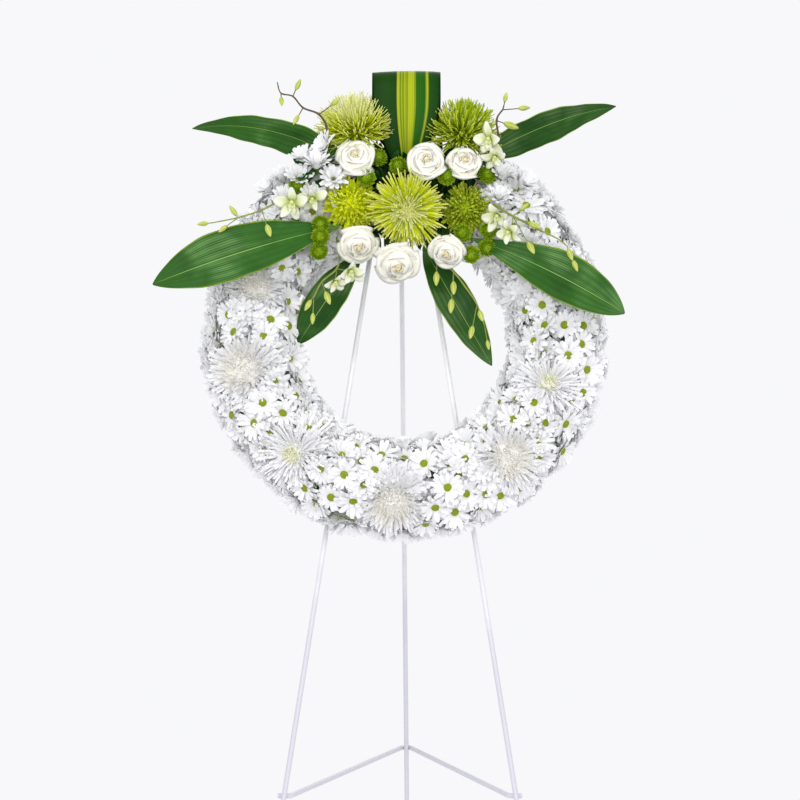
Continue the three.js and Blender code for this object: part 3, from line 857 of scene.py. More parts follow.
@dataclass(frozen=True)
class WreathPlane:
    """The plane of the front legs, in which the wreath hangs: x right, up along it, out of it."""

    lean: float = math.atan2(200, 1171)
    tray_middle: float = 13.725  # of the tray's depth, from the plane

    def turn(self, vectors: object) -> Array:
        """Directions in the wreath's plane as directions of the object."""
        x, up, out = np.moveaxis(np.asarray(vectors, float), -1, 0)
        c, s = math.cos(self.lean), math.sin(self.lean)
        return np.stack([x, up * s - out * c, up * c + out * s], axis=-1)

    def centre(self) -> Array:
        """The middle of the ring, which is the tray's middle carried back to the plane."""
        low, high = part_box("ring_tray")
        return np.array((low + high) / 2) / METRE - self.turn((0, 0, self.tray_middle))

    def spot(self, places: object) -> Array:
        """Places in the wreath's plane as points of the object."""
        return self.centre() + self.turn(places)

    def on_ring(self, angle: Array | float, radius: Array | float, out: Array | float) -> Array:
        """Points given by their angle round the ring in radians, radius and distance out."""
        parts = np.broadcast_arrays(radius * np.cos(angle), radius * np.sin(angle), out)
        return self.spot(np.stack(parts, axis=-1))

    def foot(self, place: Place) -> Array:
        """Where a stem goes into the foam: its angle in degrees, radius and distance out."""
        return self.on_ring(math.radians(place[0]), *place[1:])


PLANE = WreathPlane()
RIGHT = np.array([1.0, 0.0, 0.0])


# ---------------------------------------------------------------- The easel


@dataclass
class Easel:
    """A three-legged easel of bent wire, hinged at its top bolt and at the front legs' lugs."""

    apex_height: float = 1171
    front_spread: float = 189
    front_reach: float = 200
    rear_reach: float = 286
    rear_aside: float = 12
    wire: float = 3.175
    eye: float = 6.7
    eye_pitch: float = 7
    bolt: float = 3
    brace_height: float = 300
    lug_back: float = 8
    lug_radius: float = 5.8
    lug_wire: float = 2
    crook_slack: float = 1.3
    pintle: float = 8  # how far the brace's ends reach through the lugs
    elbow: float = 8.0  # radius of the brace's bends beside them
    eye_start: float = 50  # degrees round the bolt, from the side towards the foot
    eye_end: float = 345
    neck: float = 26  # how far below the bolt a leg starts to bend to its eye
    sides: int = 20

    def apex(self) -> Array:
        """The middle of the hinge, between its bolt's two ends."""
        low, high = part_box("hinge_bolt")
        return np.array((low + high) / 2) / METRE - (0.5, 0, 0)

    def eye_of(self, side: int) -> Array:
        """Centre of a leg's top eye: -1 left, 0 rear, 1 right."""
        return self.apex() + (side * self.eye_pitch, 0, 0)

    def foot_of(self, side: int) -> Array:
        """Where a leg stands on the floor."""
        reach = (self.rear_aside, self.rear_reach) if side == 0 else None
        x, y = reach or (side * self.front_spread, -self.front_reach)
        return self.apex() + (x, y, -self.apex_height)

    def on_leg(self, side: int, height: float) -> Array:
        """A leg's middle line at a height above the floor."""
        drop = (self.apex_height - height) / self.apex_height
        return self.eye_of(side) * (1 - drop) + self.foot_of(side) * drop

    def leg(self, piece: Piece, side: int) -> None:
        """A straight wire whose top is wound into an eye round the bolt.

        The eye's line is its centre + radius * (cos a down + sin a beside), from eye_start to
        eye_end, and an easy curve brings the straight wire to its start.

        Args:
            piece: The piece that gets the wire.
            side: Which leg.
        """
        centre, foot = self.eye_of(side), self.foot_of(side)
        down = unit((foot - centre) * (0, 1, 1))
        beside = np.cross(RIGHT, down) * (1 if side else -1)
        turn = np.radians(np.linspace(self.eye_start, self.eye_end, 34))[:, None]
        loop = centre + self.eye * (np.cos(turn) * down + np.sin(turn) * beside)
        start = self.on_leg(side, self.apex_height - self.neck)
        ahead, onto = unit(centre - foot) * 22, (beside * math.cos(turn[0, 0]) - down * 0.77) * 10
        s = np.linspace(0, 1, 12)[:-1, None]
        ease = (2 * s**3 - 3 * s**2 + 1) * start + (s**3 - 2 * s**2 + s) * ahead
        ease = ease + (3 * s**2 - 2 * s**3) * loop[0] + (s**3 - s**2) * onto
        straight = foot + (start - foot) * np.linspace(0, 1, 24)[:-1, None]
        path = np.vstack([straight, ease, loop])
        piece.add(rod(path, self.wire, self.sides, RIGHT), WIRE)

    def lug(self, side: int) -> Array:
        """Centre of the small eye behind a front leg that the brace turns in."""
        return self.on_leg(side, self.brace_height) + (0, self.lug_back, 0)

    def front_leg(self, side: int) -> None:
        """A front leg with its lug."""
        piece = Piece(f"{word(side)}_front_wire")
        self.leg(piece, side)
        ring = np.array([[self.lug_radius, 0.0]])
        path = turned(ring, self.lug(side), RIGHT, 28)[0, 0][::-1]
        section = np.linspace(0, 2 * np.pi, 12, endpoint=False)
        out = unit(path - self.lug(side))
        rings = path[:, None] + self.lug_wire * (
            np.cos(section)[:, None] * out[:, None] + np.sin(section)[:, None] * RIGHT
        )
        piece.add(rings[None], WIRE, wrapped=True)
        piece.build(Body.FRONT, Slot.WIRE, f"{word(side)}_front_leg")

    def brace(self) -> None:
        """The V of one wire that keeps the legs apart, its crook behind the rear leg."""
        left, right = self.lug(-1), self.lug(1)
        bend = 2 * self.wire + self.crook_slack
        held = self.on_leg(0, self.brace_height)
        elbows = [left + (self.pintle, 0, 0), right - (self.pintle, 0, 0)]
        half = math.atan2(elbows[1][0] - self.apex()[0], held[1] - elbows[0][1])
        crook = held + (0, bend / math.sin(half), 0)
        corners = [
            (left - (self.pintle, 0, 0), 0.0),
            (elbows[0], self.elbow),
            (crook, bend),
            (elbows[1], self.elbow),
            (right + (self.pintle, 0, 0), 0.0),
        ]
        piece = Piece("brace_wire")
        piece.add(rod(bent(corners, 12), self.wire, self.sides, np.array([0, 0, 1.0])), WIRE)
        piece.build(Body.BRACE, Slot.WIRE, "spreader_brace")

    def hinge(self) -> None:
        """The bolt with a domed head and a thread, and its six-sided nut with worn corners."""
        end = 2 * self.eye_pitch
        apex = self.apex()
        thread = np.linspace(end - 3, end + 3.6, 40)
        waves = self.bolt - 0.22 + 0.18 * np.cos(np.arange(40) * np.pi)
        shank = np.stack([waves, thread], axis=-1)
        dome = [(0.6, -end - 3), (3.4, -end - 2.8), (5.0, -end - 1.9), (5.7, -end - 0.8)]
        head = [*dome, (5.75, -end - 0.2), (5.5, -end), (self.bolt, -end)]
        profile = np.vstack([head, [(self.bolt, end - 3.4)], shank, [(2.2, end + 4)]])
        bolt = Piece("pivot_bolt")
        bolt.add(turned(profile, apex, RIGHT, 28), ZINC)
        bolt.build(Body.FRONT, Slot.ZINC, "hinge_bolt", crease=50)
        # the nut's radius is a hexagon's, cut down by a cone towards both faces
        low, high = end - 2, end + 3
        bore = self.bolt + 0.35
        height = np.array([low, low, low + 0.7, high - 0.7, high, high])
        cone = np.array([bore, 5.0, 5.75, 5.75, 5.0, bore])
        turn = np.linspace(0, 2 * np.pi, 72, endpoint=False)
        flats = 4.85 / np.cos((turn + np.pi / 6) % (np.pi / 3) - np.pi / 6)
        radius = np.minimum(flats[None], cone[:, None])
        round_about = np.stack([np.zeros(72), np.cos(turn), np.sin(turn)], axis=-1)
        rings = apex + height[:, None, None] * RIGHT + radius[..., None] * round_about
        nut = Piece("pivot_nut")
        nut.add(rings[None], ZINC, wrapped=True)
        nut.build(Body.FRONT, Slot.ZINC, "hinge_nut", crease=30)

    def build(self) -> None:
        """Every wire of the easel and its hinge."""
        self.front_leg(-1)
        self.front_leg(1)
        rear = Piece("rear_wire")
        self.leg(rear, 0)
        rear.build(Body.REAR, Slot.WIRE, "rear_leg")
        self.brace()
        self.hinge()


# ---------------------------------------------------------------- The ring and its hooks


@dataclass
class FoamRing:
    """A moulded tray full of wet foam, and the two hooks that hold it on the front legs."""

    easel: Easel
    radius: float = RING_RADIUS
    tray_half: float = 39.5
    tray_depth: float = 20.5
    wall: float = 2.2
    foam_top: float = 63
    hook_wire: float = 2
    steps: int = 26  # sides of the solid tray, whose flats carry the hooks
    gap: float = 0.3

    def band(self, name: str, profile: Array, finish: Finish, slot: Slot, node: str) -> None:
        """A closed profile of (half width, out) carried round the ring."""
        turn = np.linspace(0, 2 * np.pi, 144, endpoint=False)[:, None]
        rings = PLANE.on_ring(turn, self.radius + profile[None, :, 0], profile[None, :, 1])
        piece = Piece(name)
        piece.add(rings[None], finish, wrapped=True)
        piece.build(Body.FRONT, slot, node, crease=35)

    def tray(self) -> None:
        """The tray: sloping walls with a rolled lip and a raised rib round its back."""
        back = self.easel.wire + self.gap
        lip, foot = back + self.tray_depth, self.tray_half - 3.5
        outer = [(-12, back + 0.9), (12, back + 0.9), (13, back), (foot - 1, back)]
        outer += [(foot, back + 0.8), (self.tray_half - 0.7, lip - 2), (self.tray_half, lip - 0.9)]
        outer += [(self.tray_half - 0.6, lip), (self.tray_half - self.wall, lip)]
        outer += [(foot - self.wall, back + self.wall)]
        mirrored = [(-x, out) for x, out in reversed(outer[2:])]
        profile = np.array(outer + mirrored)[::-1]
        self.band("moulded_tray", profile, TRAY, Slot.TRAY, "ring_tray")

    def foam(self) -> None:
        """The foam: a crowned block whose corners have crumbled round."""
        inside = self.wall + 2 * self.gap
        back = self.easel.wire + self.gap + inside
        half = [(self.tray_half - 3.5 - inside, back), (self.tray_half - inside, back + 17)]
        half += [(self.tray_half - 4.4, 36), (self.tray_half - 7, 44), (self.tray_half - 13, 53)]
        half += [(self.tray_half - 21, 59), (10, 62.4), (0, self.foam_top)]
        mirrored = [(-x, out) for x, out in reversed(half[:-1])]
        self.band("soaked_foam", np.array(half + mirrored), FOAM, Slot.FOAM, "foam_ring")

    def hook(self, side: int) -> None:
        """A collar round the leg with a J hook that carries the ring's inner edge.

        The hook stands where the leg's line meets the circle just inside the ring's edge.

        Args:
            side: -1 for the left leg and 1 for the right.
        """
        leg = self.easel
        edge = (self.radius - self.tray_half) * math.cos(math.pi / self.steps)
        reach = edge - self.gap - self.hook_wire
        to_wreath = PLANE.turn(np.eye(3))
        local = (leg.eye_of(side) - PLANE.centre()) @ to_wreath.T
        foot = (leg.foot_of(side) - PLANE.centre()) @ to_wreath.T
        slope = (local[0] - foot[0]) / (local[1] - foot[1])
        offset = local[0] - slope * local[1]
        a, b, c = 1 + slope**2, slope * offset, offset**2 - reach**2
        up = (-b + math.sqrt(b * b - a * c)) / a
        x, drop, arm = offset + slope * up, 11, self.foam_top + 5
        low = x - slope * drop
        corners = [
            (PLANE.spot((low, up - drop, leg.wire + self.hook_wire)), 0.0),
            (PLANE.spot((x, up, leg.wire + 6)), 4.0),
            (PLANE.spot((x, up, arm)), 5.0),
            (PLANE.spot((x, up + 15, arm + 2)), 0.0),
        ]
        piece = Piece(f"{word(side)}_hook_wire")
        piece.add(rod(bent(corners), self.hook_wire, 14, RIGHT), WIRE)
        axis = unit(leg.eye_of(side) - leg.foot_of(side))
        wide, bore = leg.wire + self.gap + 1.8, leg.wire + self.gap
        collar = [(bore, -6), (bore, 6), (wide - 0.5, 6), (wide, 5.5)]
        collar += [(wide, -5.5), (wide - 0.5, -6)]
        middle = PLANE.spot((low, up - drop, 0))
        piece.add(turned(np.array(collar)[::-1], middle, axis, 28), WIRE, wrapped=True)
        piece.build(Body.FRONT, Slot.WIRE, f"{word(side)}_wreath_hook", crease=40)

    def build(self) -> None:
        """The tray, the foam and both hooks."""
        self.tray()
        self.foam()
        self.hook(-1)
        self.hook(1)


# ---------------------------------------------------------------- Petals and heads


@dataclass
class Sprouts:
    """Where petals grow: each array has one row a petal. Angles are in radians."""

    base: Array
    along: Array
    face: Array
    length: Array
    width: Array
    lift: Array
    curl: Array
    age: Array
    chance: Array


@dataclass(frozen=True)
class PetalCut:
    """The outline and section of one kind of petal, as shares of its width."""

    rows: int = 5
    columns: int = 3
    neck: float = 0.35
    shoulder: float = 0.62
    tip: float = 0.45
    cup: float = 0.25
    thickness: float = 0.5

    def middle(self, sprouts: Sprouts) -> Array:
        """The middle surface of every petal.

        With s from 0 at the base to 1 at the tip and t from -1 to 1 across, the point is
        base + the integral of (cos p along + sin p face), plus half the width times the outline
        times t, plus cup times t squared off the face. The pitch p is lift + curl * s ** 1.4.

        Args:
            sprouts: The petals.

        Returns:
            Points of shape (petals, rows, columns, 3).
        """
        s = np.linspace(0, 1, self.rows) ** 0.85
        t = np.linspace(-1, 1, self.columns)
        pitch = sprouts.lift[:, None] + sprouts.curl[:, None] * s**1.4
        length = sprouts.length[:, None]
        ahead = (total(np.cos(pitch), s) * length)[..., None] * sprouts.along[:, None]
        above = (total(np.sin(pitch), s) * length)[..., None] * sprouts.face[:, None]
        rise = self.neck + (1 - self.neck) * np.sin(np.minimum(s / self.shoulder, 1) * np.pi / 2)
        fall = np.clip((s - self.shoulder) / (1 - self.shoulder), 0, 1)
        half = sprouts.width[:, None] / 2 * rise * (1 - (1 - self.tip) * fall**2)
        across = np.cross(sprouts.face, sprouts.along)
        normal = np.cos(pitch)[..., None] * sprouts.face[:, None]
        normal = normal - np.sin(pitch)[..., None] * sprouts.along[:, None]
        line = sprouts.base[:, None] + ahead + above
        sideways = half[..., None, None] * t[:, None] * across[:, None, None]
        cupped = self.cup * half[..., None, None] * (t**2)[:, None] * normal[:, :, None]
        return line[:, :, None] + sideways + cupped

    def grow(self, piece: Piece, sprouts: Sprouts, finish: Finish) -> None:
        """Adds the petals to a piece."""
        blades = self.middle(sprouts)
        piece.add_blades(blades, self.thickness, finish, sprouts.age, sprouts.chance)


@dataclass(frozen=True)
class MumHabit:
    """How a full head of chrysanthemum grows; lengths are shares of the head's radius."""

    petals: int = 500
    width: float = 0.088
    inner: float = 0.5
    outer: float = 0.92
    spread: float = 106  # degrees from the axis of the outermost petals
    inward: float = 120  # degrees that the heart's petals bend over it
    outward: float = 10
    heart: float = 0.46
    sink: float = 0.2
    ragged: float = 0.08
    wild: float = 0.08  # radians that a petal strays from its place
    crowd: float = 0.6  # below 1 the heart is more crowded than the rim
    cut: PetalCut = PetalCut(5, 3, 0.45, 0.6, 0.45, 0.45, 0.7)

    def grow(
        self, piece: Piece, place: Array, axis: Array, radius: float, finish: Finish, seed: int
    ) -> None:
        """Petals by the golden angle, from upright at the heart to level at the rim.

        Petal i of n leans from the axis by spread * (i / n) ** crowd and is turned round it by
        i golden angles. Its face looks to the axis, so a positive curl closes the head.

        Args:
            piece: The piece that gets the head.
            place: The middle of the head.
            axis: The way that it faces.
            radius: Its radius.
            finish: What its petals look like.
            seed: For its small irregularities.
        """
        rng = np.random.default_rng(seed)
        n = self.petals
        q = (np.arange(n) + 0.5) / n
        turn = np.arange(n) * GOLDEN + rng.normal(0, 1.5 * self.wild, n)
        radial = spokes(axis, turn)
        polar = np.radians(4 + (self.spread - 4) * q**self.crowd) + rng.normal(0, self.wild, n)
        along = np.sin(polar)[:, None] * radial + np.cos(polar)[:, None] * axis
        face = np.sin(polar)[:, None] * axis - np.cos(polar)[:, None] * radial
        middle = place - axis * self.sink * radius
        length = radius * (self.inner + (self.outer - self.inner) * q**0.7)
        length = length * (1 + rng.normal(0, self.ragged, n).clip(-0.2, 0.1))
        curl = np.radians(self.inward + (self.outward - self.inward) * q**0.5)
        curl = curl + rng.normal(0, 2.5 * self.wild, n)
        sprouts = Sprouts(
            base=middle + along * self.heart * radius * 0.8,
            along=along,
            face=face,
            length=length - self.heart * radius * 0.7,
            width=radius * self.width * (0.65 + 0.35 * q) * (1 + rng.normal(0, 0.1, n)),
            lift=-0.3 * curl,
            curl=curl,
            age=q,
            chance=rng.random(n),
        )
        self.cut.grow(piece, sprouts, finish)
        core = np.array([(0.3, -0.8), (0.85, -0.5), (1.0, 0.0), (0.8, 0.55), (0.3, 0.9)])
        ball = core * self.heart * radius
        piece.add(turned(ball, middle, axis, 16), finish, age=0.3, chance=0.2)


class Habit(Enum):
    """The kinds of chrysanthemum head."""

    INCURVED = MumHabit()
    QUILLED = MumHabit(
        460, 0.066, 0.4, 0.98, 112, 40, -10, 0.36, 0.2, 0.1, 0.08, 0.62,
        PetalCut(5, 3, 0.6, 0.6, 0.7, 0.4, 0.9),
    )
    SPIDER = MumHabit(
        620, 0.048, 0.5, 1.14, 128, 60, 75, 0.32, 0.25, 0.22, 0.26, 0.56,
        PetalCut(6, 3, 0.7, 0.6, 0.75, 0.5, 1.1),
    )
    DOMED = MumHabit(
        620, 0.052, 0.98, 1.14, 108, 30, 40, 0.34, 0.1, 0.1, 0.15, 0.6,
        PetalCut(6, 3, 0.7, 0.6, 0.75, 0.5, 1.1),
    )
    CURLY = MumHabit(
        480, 0.094, 0.72, 1.2, 118, 150, 130, 0.45, 0.25, 0.16, 0.24, 0.58,
        PetalCut(6, 3, 0.7, 0.6, 0.7, 0.5, 0.9),
    )
    BUTTON = MumHabit(
        190, 0.14, 0.78, 0.92, 124, 70, 50, 0.62, 0.3, 0.05, 0.06, 0.55,
        PetalCut(4, 3, 0.7, 0.6, 0.7, 0.4, 0.8),
    )  # fmt: skip


def stem(piece: Piece, foot: Array, place: Array, radius: float, finish: Finish = STEM) -> None:
    """A slightly bowed stem from the foam to a flower."""
    share = np.linspace(0, 1, 7)[:, None]
    ahead = unit(place - foot)
    beside = square_to(ahead)[0][0]
    bow = np.sin(share * np.pi) * beside * 0.03 * np.linalg.norm(place - foot)
    taper = radius * (1 - 0.25 * share[:, 0])
    piece.add(tube(foot + (place - foot) * share + bow, taper, 8, np.cross(ahead, beside)), finish)


@dataclass
class Mum:
    """A large head on its stem, by its place and its foot in the wreath's plane."""

    name: str
    place: Place
    radius: float
    habit: Habit
    finish: Finish
    foot: Place | None = None  # left out, it is on the foam's middle line behind the head
    rooted: float = 40  # that foot's distance out

    def build(self, slot: Slot, seed: int) -> None:
        """Grows the head and its stem, and the calyx between them."""
        place = PLANE.spot(self.place)
        if self.foot:
            foot = PLANE.foot(self.foot)
        else:
            angle = math.atan2(self.place[1], self.place[0])
            foot = PLANE.on_ring(angle, RING_RADIUS, self.rooted)
        axis = unit(place - foot)
        piece = Piece(f"{self.name}_head")
        self.habit.value.grow(piece, place, axis, self.radius, self.finish, seed)
        stem(piece, foot, place - axis * self.radius * 0.3, 2.8)
        calyx = np.array([(0.07, -0.5), (0.2, -0.42), (0.3, -0.3), (0.26, -0.16), (0.05, -0.1)])
        piece.add(turned(calyx * self.radius, place, axis, 12), STEM)
        piece.build(Body.FRONT, slot, self.name, crease=70)


@dataclass
class Mums:
    """The large white mums round the ring and the green ones in the spray."""

    white: list[tuple[Place, float, Habit]] = field(
        default_factory=lambda: [
            ((-199, -48, 86), 53, Habit.INCURVED),
            ((-135, -152, 84), 53, Habit.QUILLED),
            ((-15, -212, 80), 51, Habit.INCURVED),
            ((128, -159, 86), 50, Habit.INCURVED),
            ((176, -66, 86), 50, Habit.QUILLED),
            ((-185, 56, 82), 42, Habit.INCURVED),
        ]
    )

    def build(self) -> None:
        """All eleven heads."""
        for number, (place, radius, habit) in enumerate(self.white, 1):
            finish = SPIDER if habit is Habit.QUILLED else MUM
            Mum(f"white_mum_{number}", place, radius, habit, finish).build(Slot.WHITE, number)
        spider, domed, curly = Habit.SPIDER, Habit.DOMED, Habit.CURLY
        green = [
            Mum("centre_green_mum", (2, 141, 124), 46, spider, PALE_LIME, (89, 172, 48)),
            Mum("left_green_mum", (-67, 156, 102), 34, curly, LIME, (112, 184, 45)),
            Mum("right_green_mum", (75, 151, 98), 31, curly, MOSS, (65, 182, 45)),
            Mum("top_left_green_mum", (-62, 264, 80), 43, domed, PALE_LIME, (105, 208, 42)),
            Mum("top_right_green_mum", (74, 258, 80), 41, domed, MOSS, (74, 208, 42)),
        ]
        for number, mum in enumerate(green, 20):
            mum.build(Slot.LIME, number)


@dataclass
class Buttons:
    """Sprays of green button flowers, each with its foot and its heads."""

    sprays: list[tuple[Place, list[Place]]] = field(
        default_factory=lambda: [
            ((100, 200, 45), [(-33, 219, 102), (-48, 186, 119)]),
            ((92, 200, 45), [(-8, 206, 106)]),
            ((77, 186, 45), [(52, 190, 116)]),
            ((62, 205, 45), [(103, 197, 100)]),
            ((54, 150, 42), [(70, 119, 108), (105, 124, 104)]),
            ((52, 160, 42), [(81, 91, 104), (102, 101, 98)]),
            ((127, 176, 45), [(-104, 131, 104), (-104, 113, 108), (-106, 95, 102)]),
            ((127, 215, 45), [(-133, 182, 104)]),
        ]
    )
    radius: float = 12.5

    def build(self) -> None:
        """Each spray as one piece."""
        for number, (foot, heads) in enumerate(self.sprays, 1):
            piece = Piece(f"button_heads_{number}")
            start = PLANE.foot(foot)
            for k, head in enumerate(heads):
                place = PLANE.spot(head)
                axis = unit(place - start)
                seed = 40 + 5 * number + k
                Habit.BUTTON.value.grow(piece, place, axis, self.radius, BUTTON, seed)
                stem(piece, start, place - axis * 3, 1.5)
            piece.build(Body.FRONT, Slot.BUTTON, f"green_button_spray_{number}")


@dataclass
class Rose:
    """A garden rose: cupped petals wrapped round each other, the outer ones open."""

    place: Place
    foot: Place
    radius: float
    open: float = 1.0  # how far the outer petals have opened
    petals: int = 20
    rows: int = 9
    columns: int = 11

    def wrap(self, place: Array, axis: Array, rng: np.random.Generator) -> Array:
        """The middle surfaces of the petals.

        Petal i, with q from 0 at the heart to 1 outside, is a patch round the axis: at s from
        base to lip and t from -1 to 1 across, it stands at the angle i golden angles + its
        half angle * t, at a radius that grows with s, flares at the lip and winds outwards
        with t, and at a height that falls off towards its corners.

        Args:
            place: The middle of the rose.
            axis: The way that it faces.
            rng: For small irregularities.

        Returns:
            Points of shape (petals, rows, columns, 3).
        """
        size, n = self.radius, self.petals
        q = (np.arange(n) / (n - 1))[:, None, None]
        s = np.linspace(0, 1, self.rows)[None, :, None]
        t = np.linspace(-1, 1, self.columns)[None, None, :]
        wave = rng.random((3, n, 1, 1)) * 2 * np.pi
        half = np.radians(100 - 42 * q)
        outline = 0.5 + 0.5 * np.sin(np.minimum(s * 1.15, 1) * np.pi / 2) - 0.12 * s**6
        angle = wave[2, 0] + np.arange(n)[:, None, None] * GOLDEN + half * outline * t
        reach = size * (0.1 + 0.33 * q + 0.3 * smooth(q, 0.25, 1))
        cup = 0.4 + 0.6 * np.sin(s * np.pi / 2) ** 0.8
        flare = size * self.open * (0.02 + 0.34 * q**1.5) * s**4
        ruffle = size * 0.035 * q * s**3 * np.sin(3 * t + wave[0])
        roll = size * 0.02 * q * s**2 * np.abs(t) ** 3
        radius = reach * cup + flare + size * 0.035 * t + ruffle + roll
        top = size * (0.62 - 0.34 * q**1.8 - 0.1 * (self.open - 1) * q)
        foot = -0.6 * size
        height = foot + (top - foot) * s**0.85
        height = height - size * (0.1 + 0.28 * q) * s**2 * t**2 - size * 0.12 * q * self.open * s**5
        height = height + size * 0.03 * s**2 * np.sin(2.2 * t + wave[1])
        return place + height[..., None] * axis + radius[..., None] * spokes(axis, angle)

    def build(self, number: int) -> None:
        """Grows the rose with its sepals and stem."""
        rng = np.random.default_rng(60 + number)
        place = PLANE.spot(self.place)
        foot = PLANE.foot(self.foot)
        axis = unit(place - foot)
        piece = Piece(f"rose_petals_{number}")
        blades = self.wrap(place, axis, rng)
        age = np.arange(self.petals) / (self.petals - 1)
        piece.add_blades(blades, 1.0, ROSE, age, rng.random(self.petals))
        under = [(0.62, -0.6), (0.84, -0.25), (0.84, 0.0), (0.72, 0.13), (0.57, 0.3), (0.34, 0.44)]
        piece.add(turned(np.array(under) * self.radius, place, axis, 24), ROSE, age=0.5)
        core = np.array([(0.1, -0.1), (0.19, 0.2), (0.17, 0.42), (0.08, 0.56)]) * self.radius
        piece.add(turned(core, place, axis, 14), ROSE, age=0.15)
        stem(piece, foot, place - axis * self.radius * 0.5, 2.5)
        hip = np.array([(0.1, -0.85), (0.24, -0.75), (0.3, -0.62), (0.2, -0.5), (0.05, -0.45)])
        piece.add(turned(hip * self.radius, place, axis, 14), STEM)
        radial = spokes(axis, np.arange(5) * 2 * np.pi / 5)
        sepals = Sprouts(
            base=place - axis * 0.62 * self.radius + radial * 0.2 * self.radius,
            along=radial,
            face=np.broadcast_to(axis, radial.shape),
            length=np.full(5, 0.8 * self.radius),
            width=np.full(5, 0.3 * self.radius),
            lift=np.full(5, 0.5),
            curl=np.full(5, 0.3),
            age=np.ones(5),
            chance=rng.random(5),
        )
        PetalCut(6, 3, 0.7, 0.3, 0.1, 0.2, 0.6).grow(piece, sepals, GREENS)
        piece.build(Body.FRONT, Slot.ROSE, f"rose_{number}")


@dataclass
class Roses:
    """The six white roses of the spray."""

    heads: list[Rose] = field(
        default_factory=lambda: [
            Rose((-60, 212, 114), (105, 200, 45), 24, 1.1),
            Rose((26, 204, 120), (83, 192, 45), 25, 0.9),
            Rose((73, 205, 112), (70, 198, 45), 23, 0.8),
            Rose((-57, 104, 112), (112, 168, 45), 25, 1.0),
            Rose((-9, 81, 112), (95, 163, 42), 28, 1.1),
            Rose((53, 96, 106), (66, 166, 42), 23, 0.9),
        ]
    )

    def build(self) -> None:
        """Each rose as one piece."""
        for number, rose in enumerate(self.heads, 1):
            rose.build(number)


# ---------------------------------------------------------------- Daisies


